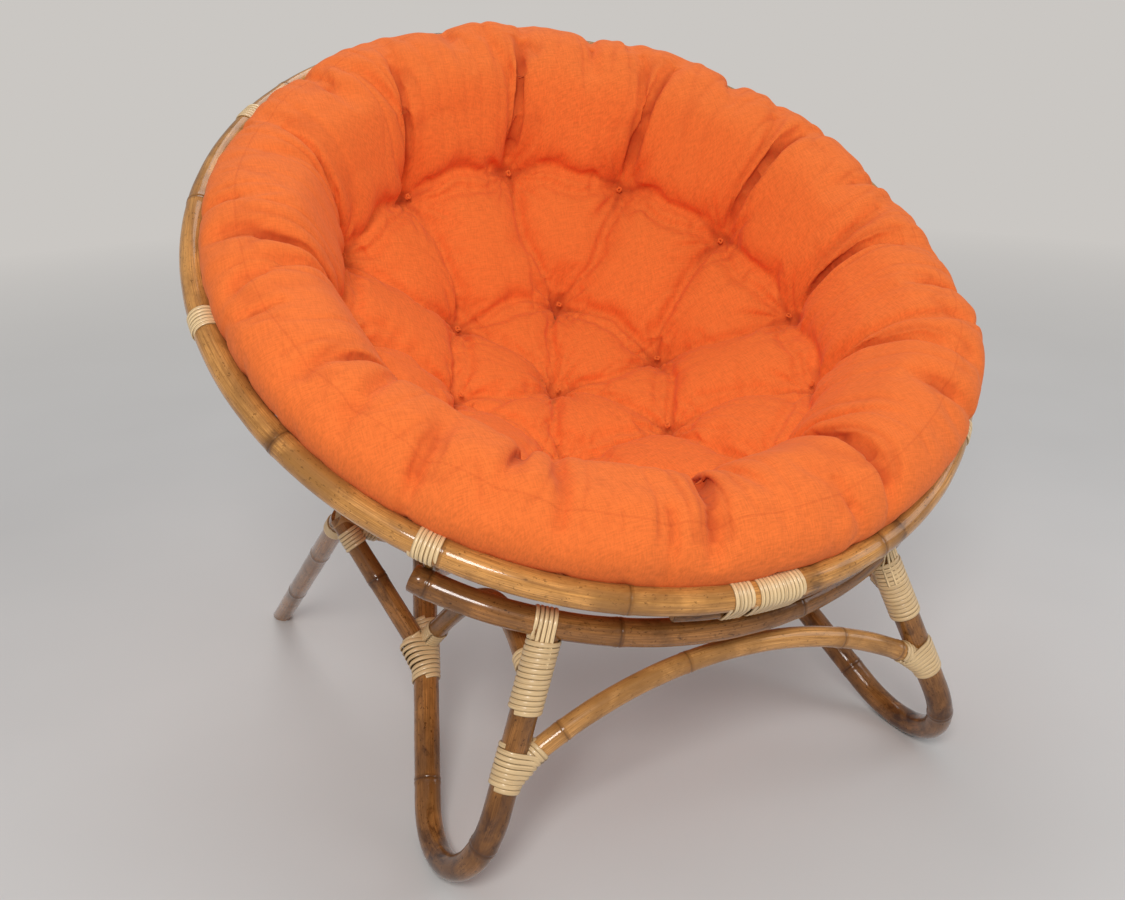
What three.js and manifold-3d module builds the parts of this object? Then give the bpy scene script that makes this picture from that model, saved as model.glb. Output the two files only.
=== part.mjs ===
// Papasan chair: a bowl of bent poles with a tufted pad, loose in a tied pole stand.
// Millimetres and degrees, +Z up, +Y to the back, origin on the floor under the middle of the chair.
import * as THREE from 'three';
import { mergeVertices } from 'three/addons/utils/BufferGeometryUtils.js';
import Module from 'manifold-3d';

const wasm = await Module();
wasm.setup();

// Fits: the gap between touching pieces, and how deep a pole is notched where another crosses it
const gap = 0.3;
const notch = 1.4;
const cutOverrun = 60;

// Bowl hoop: the big rim, low at the front. hoopFrontHeight is where its middle line is lowest.
const hoopRadius = 540;
const hoopPole = 35;
const hoopFrontHeight = 385.4;
const hoopTiltDegrees = 31.8;

// Bowl ribs and rings: ribs lie on a ball whose middle is on the hoop's axis
const bowlDepth = 380;
const ribPole = 18;
const ribCount = 8;
const ribTurnDegrees = 1.2;
const ribInnerRadius = 84;
const ringPole = 18;
const bottomRingRadius = 110;
const middleRingRadius = 340;

// Batten behind the joint of the hoop, and the two windings that tie it
const battenPole = 24;
const battenSlopeDegrees = 84;
const battenStartDegrees = 257.7;
const battenEndDegrees = 283;
const spliceStartDegrees = 264.1;
const spliceLoops = [4, 8];
const spliceSpace = 10;

// Seat rail: the arc under the hoop that carries the front of the bowl
const railPole = 35;
const railDrop = 82;
const railStartDegrees = 224.9;
const railEndDegrees = 317.4;

// Saddle rail: the cross pole, low in the middle, that carries the back of the bowl
const saddlePole = 35;
const saddleBack = 49;
const saddleBend = 779;
const saddleReach = 380;

// Leg loops: one pole bent to a narrow V, standing on its bend. Places on their two straights are
// shares of the way from the bend to the rail above.
const loopPole = 35;
const loopBend = 111;
const loopFootIn = 174;
const loopFootAhead = 285;
const loopHeadOut = 240;
const loopCrossOut = 238;
const loopTail = 38;
const floorWear = 0.6;

// Rear legs and braces: both end under the saddle rail, the braces go forward to the leg loops
const rearPole = 30;
const rearHeadOut = 372;
const rearFootOut = 383;
const rearFootBack = 469;
const bracePole = 29;
const braceHeadOut = 376;
const braceFootShare = 0.545;

// Arches: one between the front legs, one inside each leg loop
const archPole = 27;
const archFootShare = 0.1752;
const archRiseShare = 0.2827;
const sideArchFootShare = 0.6044;
const sideArchHeadShare = 0.6867;
const sideArchRiseShare = 0.2399;
const sideArchInset = 23;

// Cane of the windings, and strips of cane round the smaller joints
const caneWidth = 6.2;
const caneThickness = 2.6;
const caneTopShare = 0.7;
const caneLift = 0.9;
const hoopLashingLoops = 4;
const legLashingLoops = 7;
const legLashingDown = 62;
const archLashingLoops = 4;
const kneeLashingLoops = 3;
const stripThickness = 3;
const stripWidth = 24;
const saddleTieOut = 334;
const apexStripLength = 30;
const ringTieLength = 30;

// Pad: a thick round cushion that fills the bowl, with sewn tufts
const padThickness = 112;
const padDishIn = 90;
const padCrestIn = 78;
const padCrestHeight = 86;
const padBulgeIn = 14;
const padBulgeHeight = 38;
const padRimDrop = 12;
const tuftDepth = 30;
const tuftSpread = 34;
const innerTufts = 6;
const innerTuftRadius = 175;
const innerTuftTurnDegrees = 8;
const outerTufts = 12;
const outerTuftRadius = 340;
const outerTuftTurnDegrees = 86;
const creaseDepth = 13;
const scallopDepth = 9;

// Shape of the pad's section: where the dish ends, how round the crest and the side are, and where
// the rings of the skin lie between the named places
const padDishEndDegrees = 65;
const crestHandleShare = 0.42;
const upperBulgeShare = 0.2;
const lowerBulgeShare = 0.083;
const dishRingShares = [0.34, 0.67];
const sideRingShares = [0.25, 0.5, 0.75];

// Facets: how finely the curves are stepped
const poleSides = 12;
const ribSides = 8;
const hoopSteps = 72;
const battenSteps = 8;
const bottomRingSteps = 24;
const middleRingSteps = 48;
const railSteps = 22;
const saddleSteps = 14;
const bendSteps = 13;
const archSteps = 13;
const sideArchSteps = 12;
const ribSteps = 12;
const caneSteps = 9;
const padSteps = 60;

// Looks of the materials
const honeyPole = new THREE.MeshStandardMaterial({ color: 0xb0753a, roughness: 0.34, metalness: 0 });
const darkPole = new THREE.MeshStandardMaterial({ color: 0x7d4a26, roughness: 0.32, metalness: 0 });
const palePole = new THREE.MeshStandardMaterial({ color: 0xb99a5f, roughness: 0.4, metalness: 0 });
const paleCane = new THREE.MeshStandardMaterial({ color: 0xdcc08c, roughness: 0.45, metalness: 0 });
const orangeLinen = new THREE.MeshStandardMaterial({ color: 0xf4642b, roughness: 0.92, metalness: 0 });

const fullTurn = 360;
const radians = THREE.MathUtils.degToRad;
const vec = (x, y, z) => new THREE.Vector3(x, y, z);
const chair = new THREE.Group();

// Closed solids from rings of points

// Skins rings of equal length into one closed surface, capped at both ends or joined into a loop.
function skin(rings, closed) {
  const sides = rings[0].length;
  const positions = rings.flat().flatMap((point) => [point.x, point.y, point.z]);
  const index = [];
  const bands = closed ? rings.length : rings.length - 1;
  for (let band = 0; band < bands; band += 1) {
    const low = band * sides;
    const high = ((band + 1) % rings.length) * sides;
    for (let side = 0; side < sides; side += 1) {
      const next = (side + 1) % sides;
      index.push(low + side, low + next, high + next, low + side, high + next, high + side);
    }
  }
  if (!closed) {
    for (const [ring, flip] of [[0, true], [rings.length - 1, false]]) {
      const first = ring * sides;
      for (let side = 1; side < sides - 1; side += 1) {
        const [near, far] = flip ? [side + 1, side] : [side, side + 1];
        index.push(first, first + near, first + far);
      }
    }
  }
  const geometry = new THREE.BufferGeometry();
  geometry.setAttribute('position', new THREE.Float32BufferAttribute(positions, 3));
  geometry.setIndex(index);
  return geometry;
}

// Stations along a path, each with its point, direction and two cross directions that do not twist.
function stations(curve, steps, closed = false) {
  const list = [];
  let across = null;
  const count = closed ? steps : steps + 1;
  for (let step = 0; step < count; step += 1) {
    const along = curve.getTangentAt(step / steps).normalize();
    if (across === null) {
      across = Math.abs(along.z) < Math.SQRT1_2 ? vec(0, 0, 1) : vec(0, 1, 0);
    }
    across = across.clone().addScaledVector(along, -across.dot(along)).normalize();
    const aside = along.clone().cross(across);
    list.push({ point: curve.getPointAt(step / steps), along, across, aside });
  }
  return list;
}

// A round pole along a path.
function pole(curve, diameter, steps, options = {}) {
  const { closed = false, sides = poleSides, extra = 0 } = options;
  const radius = diameter / 2 + extra;
  const rings = stations(curve, steps, closed).map((station) =>
    Array.from({ length: sides }, (_, side) => {
      const angle = (2 * Math.PI * side) / sides;
      return station.point.clone()
        .addScaledVector(station.across, radius * Math.cos(angle))
        .addScaledVector(station.aside, radius * Math.sin(angle));
    }));
  return skin(rings, closed);
}

// Joins and cuts

function solidOf(geometry) {
  const bare = geometry.clone();
  bare.deleteAttribute('normal');
  bare.deleteAttribute('uv');
  const merged = mergeVertices(bare);
  const vertProperties = new Float32Array(merged.attributes.position.array);
  const triVerts = new Uint32Array(merged.index.array);
  return new wasm.Manifold(new wasm.Mesh({ numProp: 3, vertProperties, triVerts }));
}

function geometryOf(solid) {
  const mesh = solid.getMesh();
  const geometry = new THREE.BufferGeometry();
  geometry.setAttribute('position', new THREE.Float32BufferAttribute(mesh.vertProperties, 3));
  geometry.setIndex(Array.from(mesh.triVerts));
  return geometry;
}

// Takes every cutter out of the geometry and drops the offcuts.
function coped(geometry, cutters) {
  let solid = solidOf(geometry);
  for (const cutter of cutters) {
    solid = solid.subtract(solidOf(cutter));
  }
  const bodies = solid.decompose();
  return geometryOf(bodies.reduce((best, body) => (body.volume() > best.volume() ? body : best)));
}

// Mirrors a geometry from the left side of the chair to the right.
function mirrored(geometry) {
  const copy = geometry.clone();
  const position = copy.attributes.position;
  for (let vertex = 0; vertex < position.count; vertex += 1) {
    position.setX(vertex, -position.getX(vertex));
  }
  copy.setIndex(Array.from(copy.index.array).reverse());
  return copy;
}

function addPiece(name, geometry, material) {
  const mesh = new THREE.Mesh(geometry, material);
  mesh.name = name;
  mesh.geometry.computeVertexNormals();
  chair.add(mesh);
}

// Adds a left piece and its mirror image, each cut by the poles of its own side and by the shared ones.
function addPair(name, blank, material, sideCutters = [], sharedCutters = []) {
  const rightCutters = sideCutters.map(mirrored);
  addPiece(`${name}_left`, coped(blank, [...sideCutters, ...sharedCutters]), material);
  addPiece(`${name}_right`, coped(mirrored(blank), [...rightCutters, ...sharedCutters]), material);
}

// Windings of cane

// The outline that a tight loop takes round one or two poles, as points with their outward directions.
// Poles are circles in the section. The loop's straight sides keep the given offset from them, and each
// point is where two sides meet.
function loopOutline(circles, offset, steps) {
  const turn = (2 * Math.PI) / steps;
  const direction = (step) => new THREE.Vector2(Math.cos(turn * step), Math.sin(turn * step));
  const reach = (step) => Math.max(...circles.map(({ centre, radius }) =>
    direction(step).dot(centre) + radius + offset));
  return Array.from({ length: steps }, (_, step) => {
    const along = direction(step + steps / 4);
    const run = (reach(step + 1) - reach(step) * Math.cos(turn)) / Math.sin(turn);
    const point = direction(step).multiplyScalar(reach(step)).addScaledVector(along, run);
    return { point, outward: direction(step + 1 / 2) };
  });
}

// One unbroken strip of cane wound round a path, from a start length along it.
// frameAt gives the section's two directions, so that a second pole beside the first is enclosed too.
function winding(name, curve, startLength, loops, circles, frameAt) {
  const pitch = caneWidth + caneLift;
  const length = curve.getLength();
  const outline = loopOutline(circles, gap + caneThickness / 2, caneSteps);
  const centres = [];
  const rings = [];
  for (let step = 0; step <= loops * caneSteps; step += 1) {
    const share = (startLength + (pitch * step) / caneSteps) / length;
    const { across, aside } = frameAt(share);
    const along = curve.getTangentAt(share).normalize();
    const { point, outward } = outline[step % caneSteps];
    const centre = curve.getPointAt(share)
      .addScaledVector(across, point.x)
      .addScaledVector(aside, point.y);
    const lift = across.clone().multiplyScalar(outward.x).addScaledVector(aside, outward.y);
    const corner = (side, height) => centre.clone()
      .addScaledVector(along, side * caneWidth / 2)
      .addScaledVector(lift, height * caneThickness / 2);
    centres.push(centre);
    rings.push([corner(1, -1), corner(caneTopShare, 1), corner(-caneTopShare, 1), corner(-1, -1)]);
  }
  let least = Infinity;
  for (let first = 0; first < rings.length; first += 1) {
    for (let second = first + caneSteps - 1; second < rings.length; second += 1) {
      for (const near of rings[first]) {
        for (const far of rings[second]) {
          least = Math.min(least, near.distanceTo(far));
        }
      }
    }
  }
  console.log(`${name}: ${loops} loops, least gap between turns ${least.toFixed(2)} mm`);
  return skin(rings, false);
}

// The room that a winding takes up, as a solid for cutting what butts against it.
function windingRoom(curve, startLength, loops, circles, frameAt) {
  const pitch = caneWidth + caneLift;
  const length = curve.getLength();
  const grown = circles.map(({ centre, radius }) => ({
    centre,
    radius: (radius + gap + caneThickness / 2) / Math.cos(Math.PI / caneSteps) + caneThickness / 2,
  }));
  const outline = loopOutline(grown, gap, poleSides);
  const start = startLength - caneWidth / 2 - gap;
  const reach = pitch * loops + caneWidth + 2 * gap;
  const rings = [];
  for (let step = 0; step <= loops; step += 1) {
    const share = (start + (reach * step) / loops) / length;
    const { across, aside } = frameAt(share);
    rings.push(outline.map(({ point }) => curve.getPointAt(share)
      .addScaledVector(across, point.x).addScaledVector(aside, point.y)));
  }
  return skin(rings, false);
}

// Directions of the hoop and the ball that the bowl lies on

const tilt = radians(hoopTiltDegrees);
const rightward = vec(1, 0, 0);
const uphill = vec(0, Math.cos(tilt), Math.sin(tilt));
const hoopAxis = vec(0, -Math.sin(tilt), Math.cos(tilt));
const hoopCentre = vec(0, 0, hoopFrontHeight + hoopRadius * Math.sin(tilt));
const ballRadius = (hoopRadius ** 2 + bowlDepth ** 2) / (2 * bowlDepth);
const ballRise = ballRadius - bowlDepth;
const ballCentre = hoopCentre.clone().addScaledVector(hoopAxis, ballRise);

// A point given by its distance from the hoop's axis, the angle round it and the height over the hoop.
function bowlPoint(radius, degrees, height) {
  return hoopCentre.clone()
    .addScaledVector(rightward, radius * Math.cos(radians(degrees)))
    .addScaledVector(uphill, radius * Math.sin(radians(degrees)))
    .addScaledVector(hoopAxis, height);
}

// An arc round the hoop's axis.
class BowlArc extends THREE.Curve {
  constructor(radius, height, startDegrees, endDegrees) {
    super();
    this.radius = radius;
    this.height = height;
    this.startDegrees = startDegrees;
    this.endDegrees = endDegrees;
  }

  getPoint(share, target = vec(0, 0, 0)) {
    const degrees = THREE.MathUtils.lerp(this.startDegrees, this.endDegrees, share);
    return target.copy(bowlPoint(this.radius, degrees, this.height));
  }

  frameAt(share) {
    const degrees = THREE.MathUtils.lerp(this.startDegrees, this.endDegrees, share);
    const across = bowlPoint(1, degrees, 0).sub(hoopCentre);
    return { across, aside: hoopAxis.clone().negate() };
  }

  lengthTo(degrees) {
    return this.radius * radians(THREE.MathUtils.euclideanModulo(degrees - this.startDegrees, fullTurn));
  }
}

// Hoop

const frontDegrees = 270;
const hoopSeam = ribTurnDegrees + fullTurn / ribCount / 2;
const hoopCurve = new BowlArc(hoopRadius, 0, hoopSeam, hoopSeam + fullTurn);
const facetDip = hoopRadius * (1 - Math.cos(Math.PI / hoopSteps));
const hoopCircle = { centre: new THREE.Vector2(0, 0), radius: hoopPole / 2 + facetDip };
addPiece('hoop', pole(hoopCurve, hoopPole, hoopSteps, { closed: true }), honeyPole);
const hoopCutter = pole(hoopCurve, hoopPole, hoopSteps, { closed: true, extra: gap });

// Batten along the inside of the hoop's joint

const battenReach = hoopPole / 2 + battenPole / 2 + gap - notch;
const battenIn = battenReach * Math.cos(radians(battenSlopeDegrees));
const battenDown = battenReach * Math.sin(radians(battenSlopeDegrees));
const battenCurve = new BowlArc(hoopRadius - battenIn, -battenDown, battenStartDegrees, battenEndDegrees);
const battenCircle = {
  centre: new THREE.Vector2(-battenIn, battenDown),
  radius: battenPole / 2 + facetDip,
};
addPiece('hoop_joint_batten', coped(pole(battenCurve, battenPole, battenSteps), [hoopCutter]), darkPole);

// Windings on the hoop: two over its joint, one over each rib's head

const frameOnHoop = (share) => hoopCurve.frameAt(share);
const lashingPitch = caneWidth + caneLift;
const spliceRooms = [];
const lashingRooms = [];
let spliceLength = hoopCurve.lengthTo(spliceStartDegrees) + caneWidth / 2;
spliceLoops.forEach((loops, part) => {
  const name = `splice_lashing_${part + 1}`;
  const circles = [hoopCircle, battenCircle];
  addPiece(name, winding(name, hoopCurve, spliceLength, loops, circles, frameOnHoop), paleCane);
  spliceRooms.push(windingRoom(hoopCurve, spliceLength, loops, circles, frameOnHoop));
  spliceLength += lashingPitch * loops + caneWidth + spliceSpace;
});

const ribPitch = fullTurn / ribCount;
const ribDegrees = Array.from({ length: ribCount }, (_, rib) => ribTurnDegrees + rib * ribPitch);
const frontRib = ribDegrees.findIndex((degrees) => Math.abs(degrees - frontDegrees) < ribPitch / 2);
ribDegrees.forEach((degrees, rib) => {
  if (rib === frontRib) {
    return;
  }
  const name = `hoop_lashing_${rib + 1}`;
  const start = hoopCurve.lengthTo(degrees) - (lashingPitch * hoopLashingLoops) / 2;
  addPiece(name, winding(name, hoopCurve, start, hoopLashingLoops, [hoopCircle], frameOnHoop), paleCane);
  lashingRooms[rib] = windingRoom(hoopCurve, start, hoopLashingLoops, [hoopCircle], frameOnHoop);
});

// Rings inside the ribs

const ringBall = ballRadius - ribPole / 2 - ringPole / 2 - gap + notch;
const ringHeight = (radius) => ballRise - Math.sqrt(ringBall ** 2 - radius ** 2);
const bottomRing = new BowlArc(bottomRingRadius, ringHeight(bottomRingRadius), 0, fullTurn);
const middleRing = new BowlArc(middleRingRadius, ringHeight(middleRingRadius), 0, fullTurn);
const ringOptions = { closed: true, sides: ribSides };
addPiece('bottom_ring', pole(bottomRing, ringPole, bottomRingSteps, ringOptions), honeyPole);
addPiece('middle_ring', pole(middleRing, ringPole, middleRingSteps, ringOptions), honeyPole);
const ringCutters = [
  pole(bottomRing, ringPole, bottomRingSteps, { ...ringOptions, extra: gap }),
  pole(middleRing, ringPole, middleRingSteps, { ...ringOptions, extra: gap }),
];

// Seat rail and saddle rail of the stand

const seatBall = ballRadius + ribPole / 2 + gap - notch;
const railRadius = Math.sqrt((seatBall + railPole / 2) ** 2 - (ballRise + railDrop) ** 2);
const railCurve = new BowlArc(railRadius, -railDrop, railStartDegrees, railEndDegrees);
addPiece('seat_rail', pole(railCurve, railPole, railSteps), darkPole);
const railCutter = pole(railCurve, railPole, railSteps, { extra: gap });

const saddleLow = ballCentre.z
  - Math.sqrt((seatBall + saddlePole / 2) ** 2 - (saddleBack - ballCentre.y) ** 2);
const saddleMiddle = vec(0, saddleBack, saddleLow + saddleBend);

class SaddleCurve extends THREE.Curve {
  getPoint(share, target = vec(0, 0, 0)) {
    const swing = Math.asin(saddleReach / saddleBend) * (2 * share - 1);
    const fall = saddleBend * Math.cos(swing);
    return target.set(saddleBend * Math.sin(swing), saddleBack, saddleMiddle.z - fall);
  }

  pointOut(out) {
    return vec(-out, saddleBack, saddleMiddle.z - Math.sqrt(saddleBend ** 2 - out ** 2));
  }

  tangentOut(out) {
    return this.pointOut(out).sub(saddleMiddle).cross(vec(0, 1, 0)).normalize();
  }
}

const saddleCurve = new SaddleCurve();
addPiece('saddle_rail', pole(saddleCurve, saddlePole, saddleSteps), palePole);
const saddleCutter = pole(saddleCurve, saddlePole, saddleSteps, { extra: gap });

// Leg loops: two straight poles that meet in a bend on the floor, all in one leaning plane

const railDegreesAt = (out) => fullTurn - THREE.MathUtils.radToDeg(Math.acos(-out / railRadius));
const loopHead = bowlPoint(railRadius, railDegreesAt(loopHeadOut), -railDrop);
const loopFoot = vec(loopFootIn - hoopRadius, -loopFootAhead, loopPole / 2 - floorWear);
const crossReach = (loopPole + saddlePole) / 2 + gap - notch;

// Where the straight from a point touches the bend's circle, on the side that the normal turns to.
function tangentPoint(from, centre, radius, normal) {
  const line = from.clone().sub(centre);
  const distance = line.length();
  const sideways = normal.clone().cross(line).normalize();
  const reach = radius ** 2 / distance;
  return centre.clone()
    .addScaledVector(line.normalize(), reach)
    .addScaledVector(sideways, Math.sqrt(radius ** 2 - reach ** 2));
}

// The rear straight leans on the back of the saddle rail, so its place there is settled by a few passes.
function bendFor(cross) {
  const normal = cross.clone().sub(loopFoot).cross(loopHead.clone().sub(loopFoot)).normalize();
  const upInPlane = vec(0, 0, 1).addScaledVector(normal, -normal.z).normalize();
  const centre = loopFoot.clone().addScaledVector(upInPlane, loopBend);
  const front = tangentPoint(loopHead, centre, loopBend, normal);
  const rear = tangentPoint(cross, centre, loopBend, normal.clone().negate());
  return { normal, centre, front, rear };
}

let loopCross = saddleCurve.pointOut(loopCrossOut);
const settlePasses = 12;
for (let pass = 0; pass < settlePasses; pass += 1) {
  const apart = loopCross.clone().sub(bendFor(loopCross).rear);
  apart.cross(saddleCurve.tangentOut(loopCrossOut));
  apart.setLength(crossReach * Math.sign(apart.y));
  loopCross = saddleCurve.pointOut(loopCrossOut).add(apart);
}
const { normal: loopNormal, centre: bendCentre, front: frontTouch, rear: rearTouch } = bendFor(loopCross);
const frontLine = loopHead.clone().sub(frontTouch).normalize();
const rearLine = loopCross.clone().sub(rearTouch).normalize();
const loopTop = loopCross.clone().addScaledVector(rearLine, loopTail);

// Round the bend from the front straight to the rear one, through the foot.
const bendSweep = frontTouch.clone().sub(bendCentre).angleTo(rearTouch.clone().sub(bendCentre));

// Rings of the loop: one at each end, and many round the bend, square to it.
function loopRings(extra) {
  const radius = loopPole / 2 + extra;
  const ringAt = (point, along) => {
    const inPlane = along.clone().cross(loopNormal);
    return Array.from({ length: poleSides }, (_, side) => {
      const angle = (2 * Math.PI * side) / poleSides;
      return point.clone()
        .addScaledVector(loopNormal, radius * Math.cos(angle))
        .addScaledVector(inPlane, radius * Math.sin(angle));
    });
  };
  const downFront = frontLine.clone().negate();
  const rings = [ringAt(loopHead, downFront)];
  for (let step = 0; step <= bendSteps; step += 1) {
    const swing = (bendSweep * step) / bendSteps;
    const spoke = frontTouch.clone().sub(bendCentre).applyAxisAngle(loopNormal, swing);
    const along = downFront.clone().applyAxisAngle(loopNormal, swing);
    rings.push(ringAt(bendCentre.clone().add(spoke), along));
  }
  rings.push(ringAt(loopTop, rearLine));
  return rings;
}

// A slab under the floor, to wear the standing poles flat.
const floorSlab = new THREE.BoxGeometry(4 * hoopRadius, 4 * hoopRadius, cutOverrun)
  .translate(0, 0, -cutOverrun / 2);

const loopCutter = skin(loopRings(gap), false);
addPair('leg_loop', skin(loopRings(0), false), darkPole, [], [railCutter, saddleCutter, floorSlab]);

// Points on the two straights of the left leg loop, by their share of the way up from the bend
const onFront = (share) => frontTouch.clone().lerp(loopHead, share);
const onRear = (share) => rearTouch.clone().lerp(loopCross, share);

// Windings on the left leg loop: under the rail, at the arch's foot and at the knee of the rear straight

const loopCircle = { centre: new THREE.Vector2(0, 0), radius: loopPole / 2 };
const frameOf = (curve) => {
  const { across, aside } = stations(curve, 1)[0];
  return () => ({ across, aside });
};
const frontStraight = new THREE.LineCurve3(loopHead, frontTouch);
const rearStraight = new THREE.LineCurve3(rearTouch, loopTop);
const baseWindings = [
  { name: 'leg_lashing', curve: frontStraight, middle: legLashingDown, loops: legLashingLoops },
  {
    name: 'arch_lashing',
    curve: frontStraight,
    middle: onFront(archFootShare).distanceTo(loopHead),
    loops: archLashingLoops,
  },
  {
    name: 'knee_lashing',
    curve: rearStraight,
    middle: onRear(sideArchFootShare).distanceTo(rearTouch),
    loops: kneeLashingLoops,
  },
];
const baseRooms = {};
for (const { name, curve, middle, loops } of baseWindings) {
  const start = middle - (lashingPitch * loops) / 2;
  const frameAt = frameOf(curve);
  addPair(name, winding(name, curve, start, loops, [loopCircle], frameAt), paleCane);
  baseRooms[name] = windingRoom(curve, start, loops, [loopCircle], frameAt);
}

// Arch between the front legs, through its two feet and its crown

const archFoot = onFront(archFootShare);
const archHalf = -archFoot.x;
const archRise = archRiseShare * loopHead.z;
const archRadius = (archHalf ** 2 + archRise ** 2) / (2 * archRise);

class FrontArch extends THREE.Curve {
  getPoint(share, target = vec(0, 0, 0)) {
    const swing = Math.asin(archHalf / archRadius) * (2 * share - 1);
    const fall = archRadius * (1 - Math.cos(swing));
    return target.set(archRadius * Math.sin(swing), archFoot.y, archFoot.z + archRise - fall);
  }
}

const archCutters = [loopCutter, baseRooms.arch_lashing].flatMap((cutter) => [cutter, mirrored(cutter)]);
addPiece('front_arch', coped(pole(new FrontArch(), archPole, archSteps), archCutters), palePole);

// Rear legs and braces, under the ends of the saddle rail

const rearHead = saddleCurve.pointOut(rearHeadOut);
const rearFoot = vec(-rearFootOut, rearFootBack, 0);
const rearLegLine = rearHead.clone().sub(rearFoot).normalize();
const rearTip = rearFoot.clone().addScaledVector(rearLegLine, -rearPole);
const rearLegCurve = new THREE.LineCurve3(rearTip, rearHead);
const rearLegCutter = pole(rearLegCurve, rearPole, 1, { extra: gap });
addPair('rear_leg', pole(rearLegCurve, rearPole, 1), darkPole, [], [saddleCutter, floorSlab]);

const braceCurve = new THREE.LineCurve3(onRear(braceFootShare), saddleCurve.pointOut(braceHeadOut));
const braceCutter = pole(braceCurve, bracePole, 1, { extra: gap });
const braceCutters = [rearLegCutter, loopCutter, baseRooms.knee_lashing];
addPair('rear_brace', pole(braceCurve, bracePole, 1), darkPole, braceCutters, [saddleCutter]);

// Arch inside each leg loop, bulging a little to the middle of the chair

class SideArch extends THREE.Curve {
  getPoint(share, target = vec(0, 0, 0)) {
    const swell = Math.sin(Math.PI * share);
    target.lerpVectors(onRear(sideArchFootShare), onFront(sideArchHeadShare), share);
    return target.add(vec(sideArchInset * swell, 0, sideArchRiseShare * loopHead.z * swell));
  }
}

const sideArchCutters = [loopCutter, braceCutter, baseRooms.knee_lashing, baseRooms.leg_lashing];
addPair('side_arch', pole(new SideArch(), archPole, sideArchSteps), darkPole, sideArchCutters);

// Strips of cane round the smaller joints, each a sleeve round its pole

class Stretch extends THREE.Curve {
  constructor(curve, from, to) {
    super();
    Object.assign(this, { curve, from, to });
  }

  getPoint(share, target = vec(0, 0, 0)) {
    return target.copy(this.curve.getPointAt(THREE.MathUtils.lerp(this.from, this.to, share)));
  }
}

// A fat stretch of a pole, from one length along it to another, with room round it where it is a cutter.
function sleeveBlank(curve, diameter, from, to, options = {}) {
  const { sides = poleSides, room = 0 } = options;
  const length = curve.getLength();
  const stretch = new Stretch(curve, (from - room) / length, (to + room) / length);
  return pole(stretch, diameter, 1, { extra: gap + stripThickness + room, sides });
}

const railMiddle = railRadius * radians(railDegreesAt(loopHeadOut) - railStartDegrees);
const railStrap = sleeveBlank(railCurve, railPole, railMiddle - stripWidth / 2,
  railMiddle + stripWidth / 2);
addPair('rail_strap', railStrap, paleCane, [loopCutter, baseRooms.leg_lashing], [railCutter]);

const saddleSwing = Math.asin(saddleReach / saddleBend);
const saddleTieMiddle = saddleBend * (saddleSwing - Math.asin(saddleTieOut / saddleBend));
const saddleTie = sleeveBlank(saddleCurve, saddlePole, saddleTieMiddle - stripWidth / 2,
  saddleTieMiddle + stripWidth / 2);

const apexFrom = saddlePole / 2 + stripThickness;
function apexSleeve(curve, diameter, room = 0) {
  const end = curve.getLength() - apexFrom;
  return solidOf(sleeveBlank(curve, diameter, end - apexStripLength, end, { room }));
}
const apexSleeves = (room) =>
  geometryOf(apexSleeve(rearLegCurve, rearPole, room).add(apexSleeve(braceCurve, bracePole, room)));
addPair('apex_strap', apexSleeves(0), paleCane, [rearLegCutter, braceCutter], [saddleCutter]);
addPair('saddle_tie', saddleTie, paleCane, [loopCutter, braceCutter, apexSleeves(gap)], [saddleCutter]);

// Ribs, and a tie where each crosses the middle ring

const rimPolar = Math.asin(hoopRadius / ballRadius);
const innerPolar = Math.asin(ribInnerRadius / ballRadius);

class RibCurve extends THREE.Curve {
  constructor(degrees) {
    super();
    this.degrees = degrees;
  }

  getPoint(share, target = vec(0, 0, 0)) {
    const polar = THREE.MathUtils.lerp(rimPolar, innerPolar, share);
    return target.copy(bowlPoint(ballRadius * Math.sin(polar), this.degrees,
      ballRise - ballRadius * Math.cos(polar)));
  }
}

const ribCutters = [hoopCutter, ...ringCutters, railCutter, saddleCutter];
const ringPolar = Math.asin(middleRingRadius / ringBall);
ribDegrees.forEach((degrees, rib) => {
  const curve = new RibCurve(degrees);
  const blank = pole(curve, ribPole, ribSteps, { sides: ribSides });
  const rooms = rib === frontRib ? spliceRooms : [lashingRooms[rib]];
  addPiece(`rib_${rib + 1}`, coped(blank, [...ribCutters, ...rooms]), honeyPole);
  const cutter = pole(curve, ribPole, ribSteps, { sides: ribSides, extra: gap });
  const middle = ballRadius * (rimPolar - ringPolar);
  const tie = sleeveBlank(curve, ribPole, middle - ringTieLength / 2, middle + ringTieLength / 2,
    { sides: ribSides });
  addPiece(`ring_tie_${rib + 1}`, coped(tie, [cutter, ringCutters[1]]), paleCane);
});

// Pad: one closed skin of rings round the hoop's axis, pulled in at the tufts and the creases

const padBall = ringBall - ringPole / 2 - gap;
const padDishRadius = hoopRadius - padDishIn;
const padCrestRadius = hoopRadius - padCrestIn;
const padBulgeRadius = hoopRadius - padBulgeIn;
const dishMiddle = ballRise - padBall + padThickness + padDishRadius;
const polarOnPad = (radius) => Math.asin(radius / ringBall);
const padRimPolar = Math.acos((ballRise + padRimDrop) / padBall);

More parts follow.
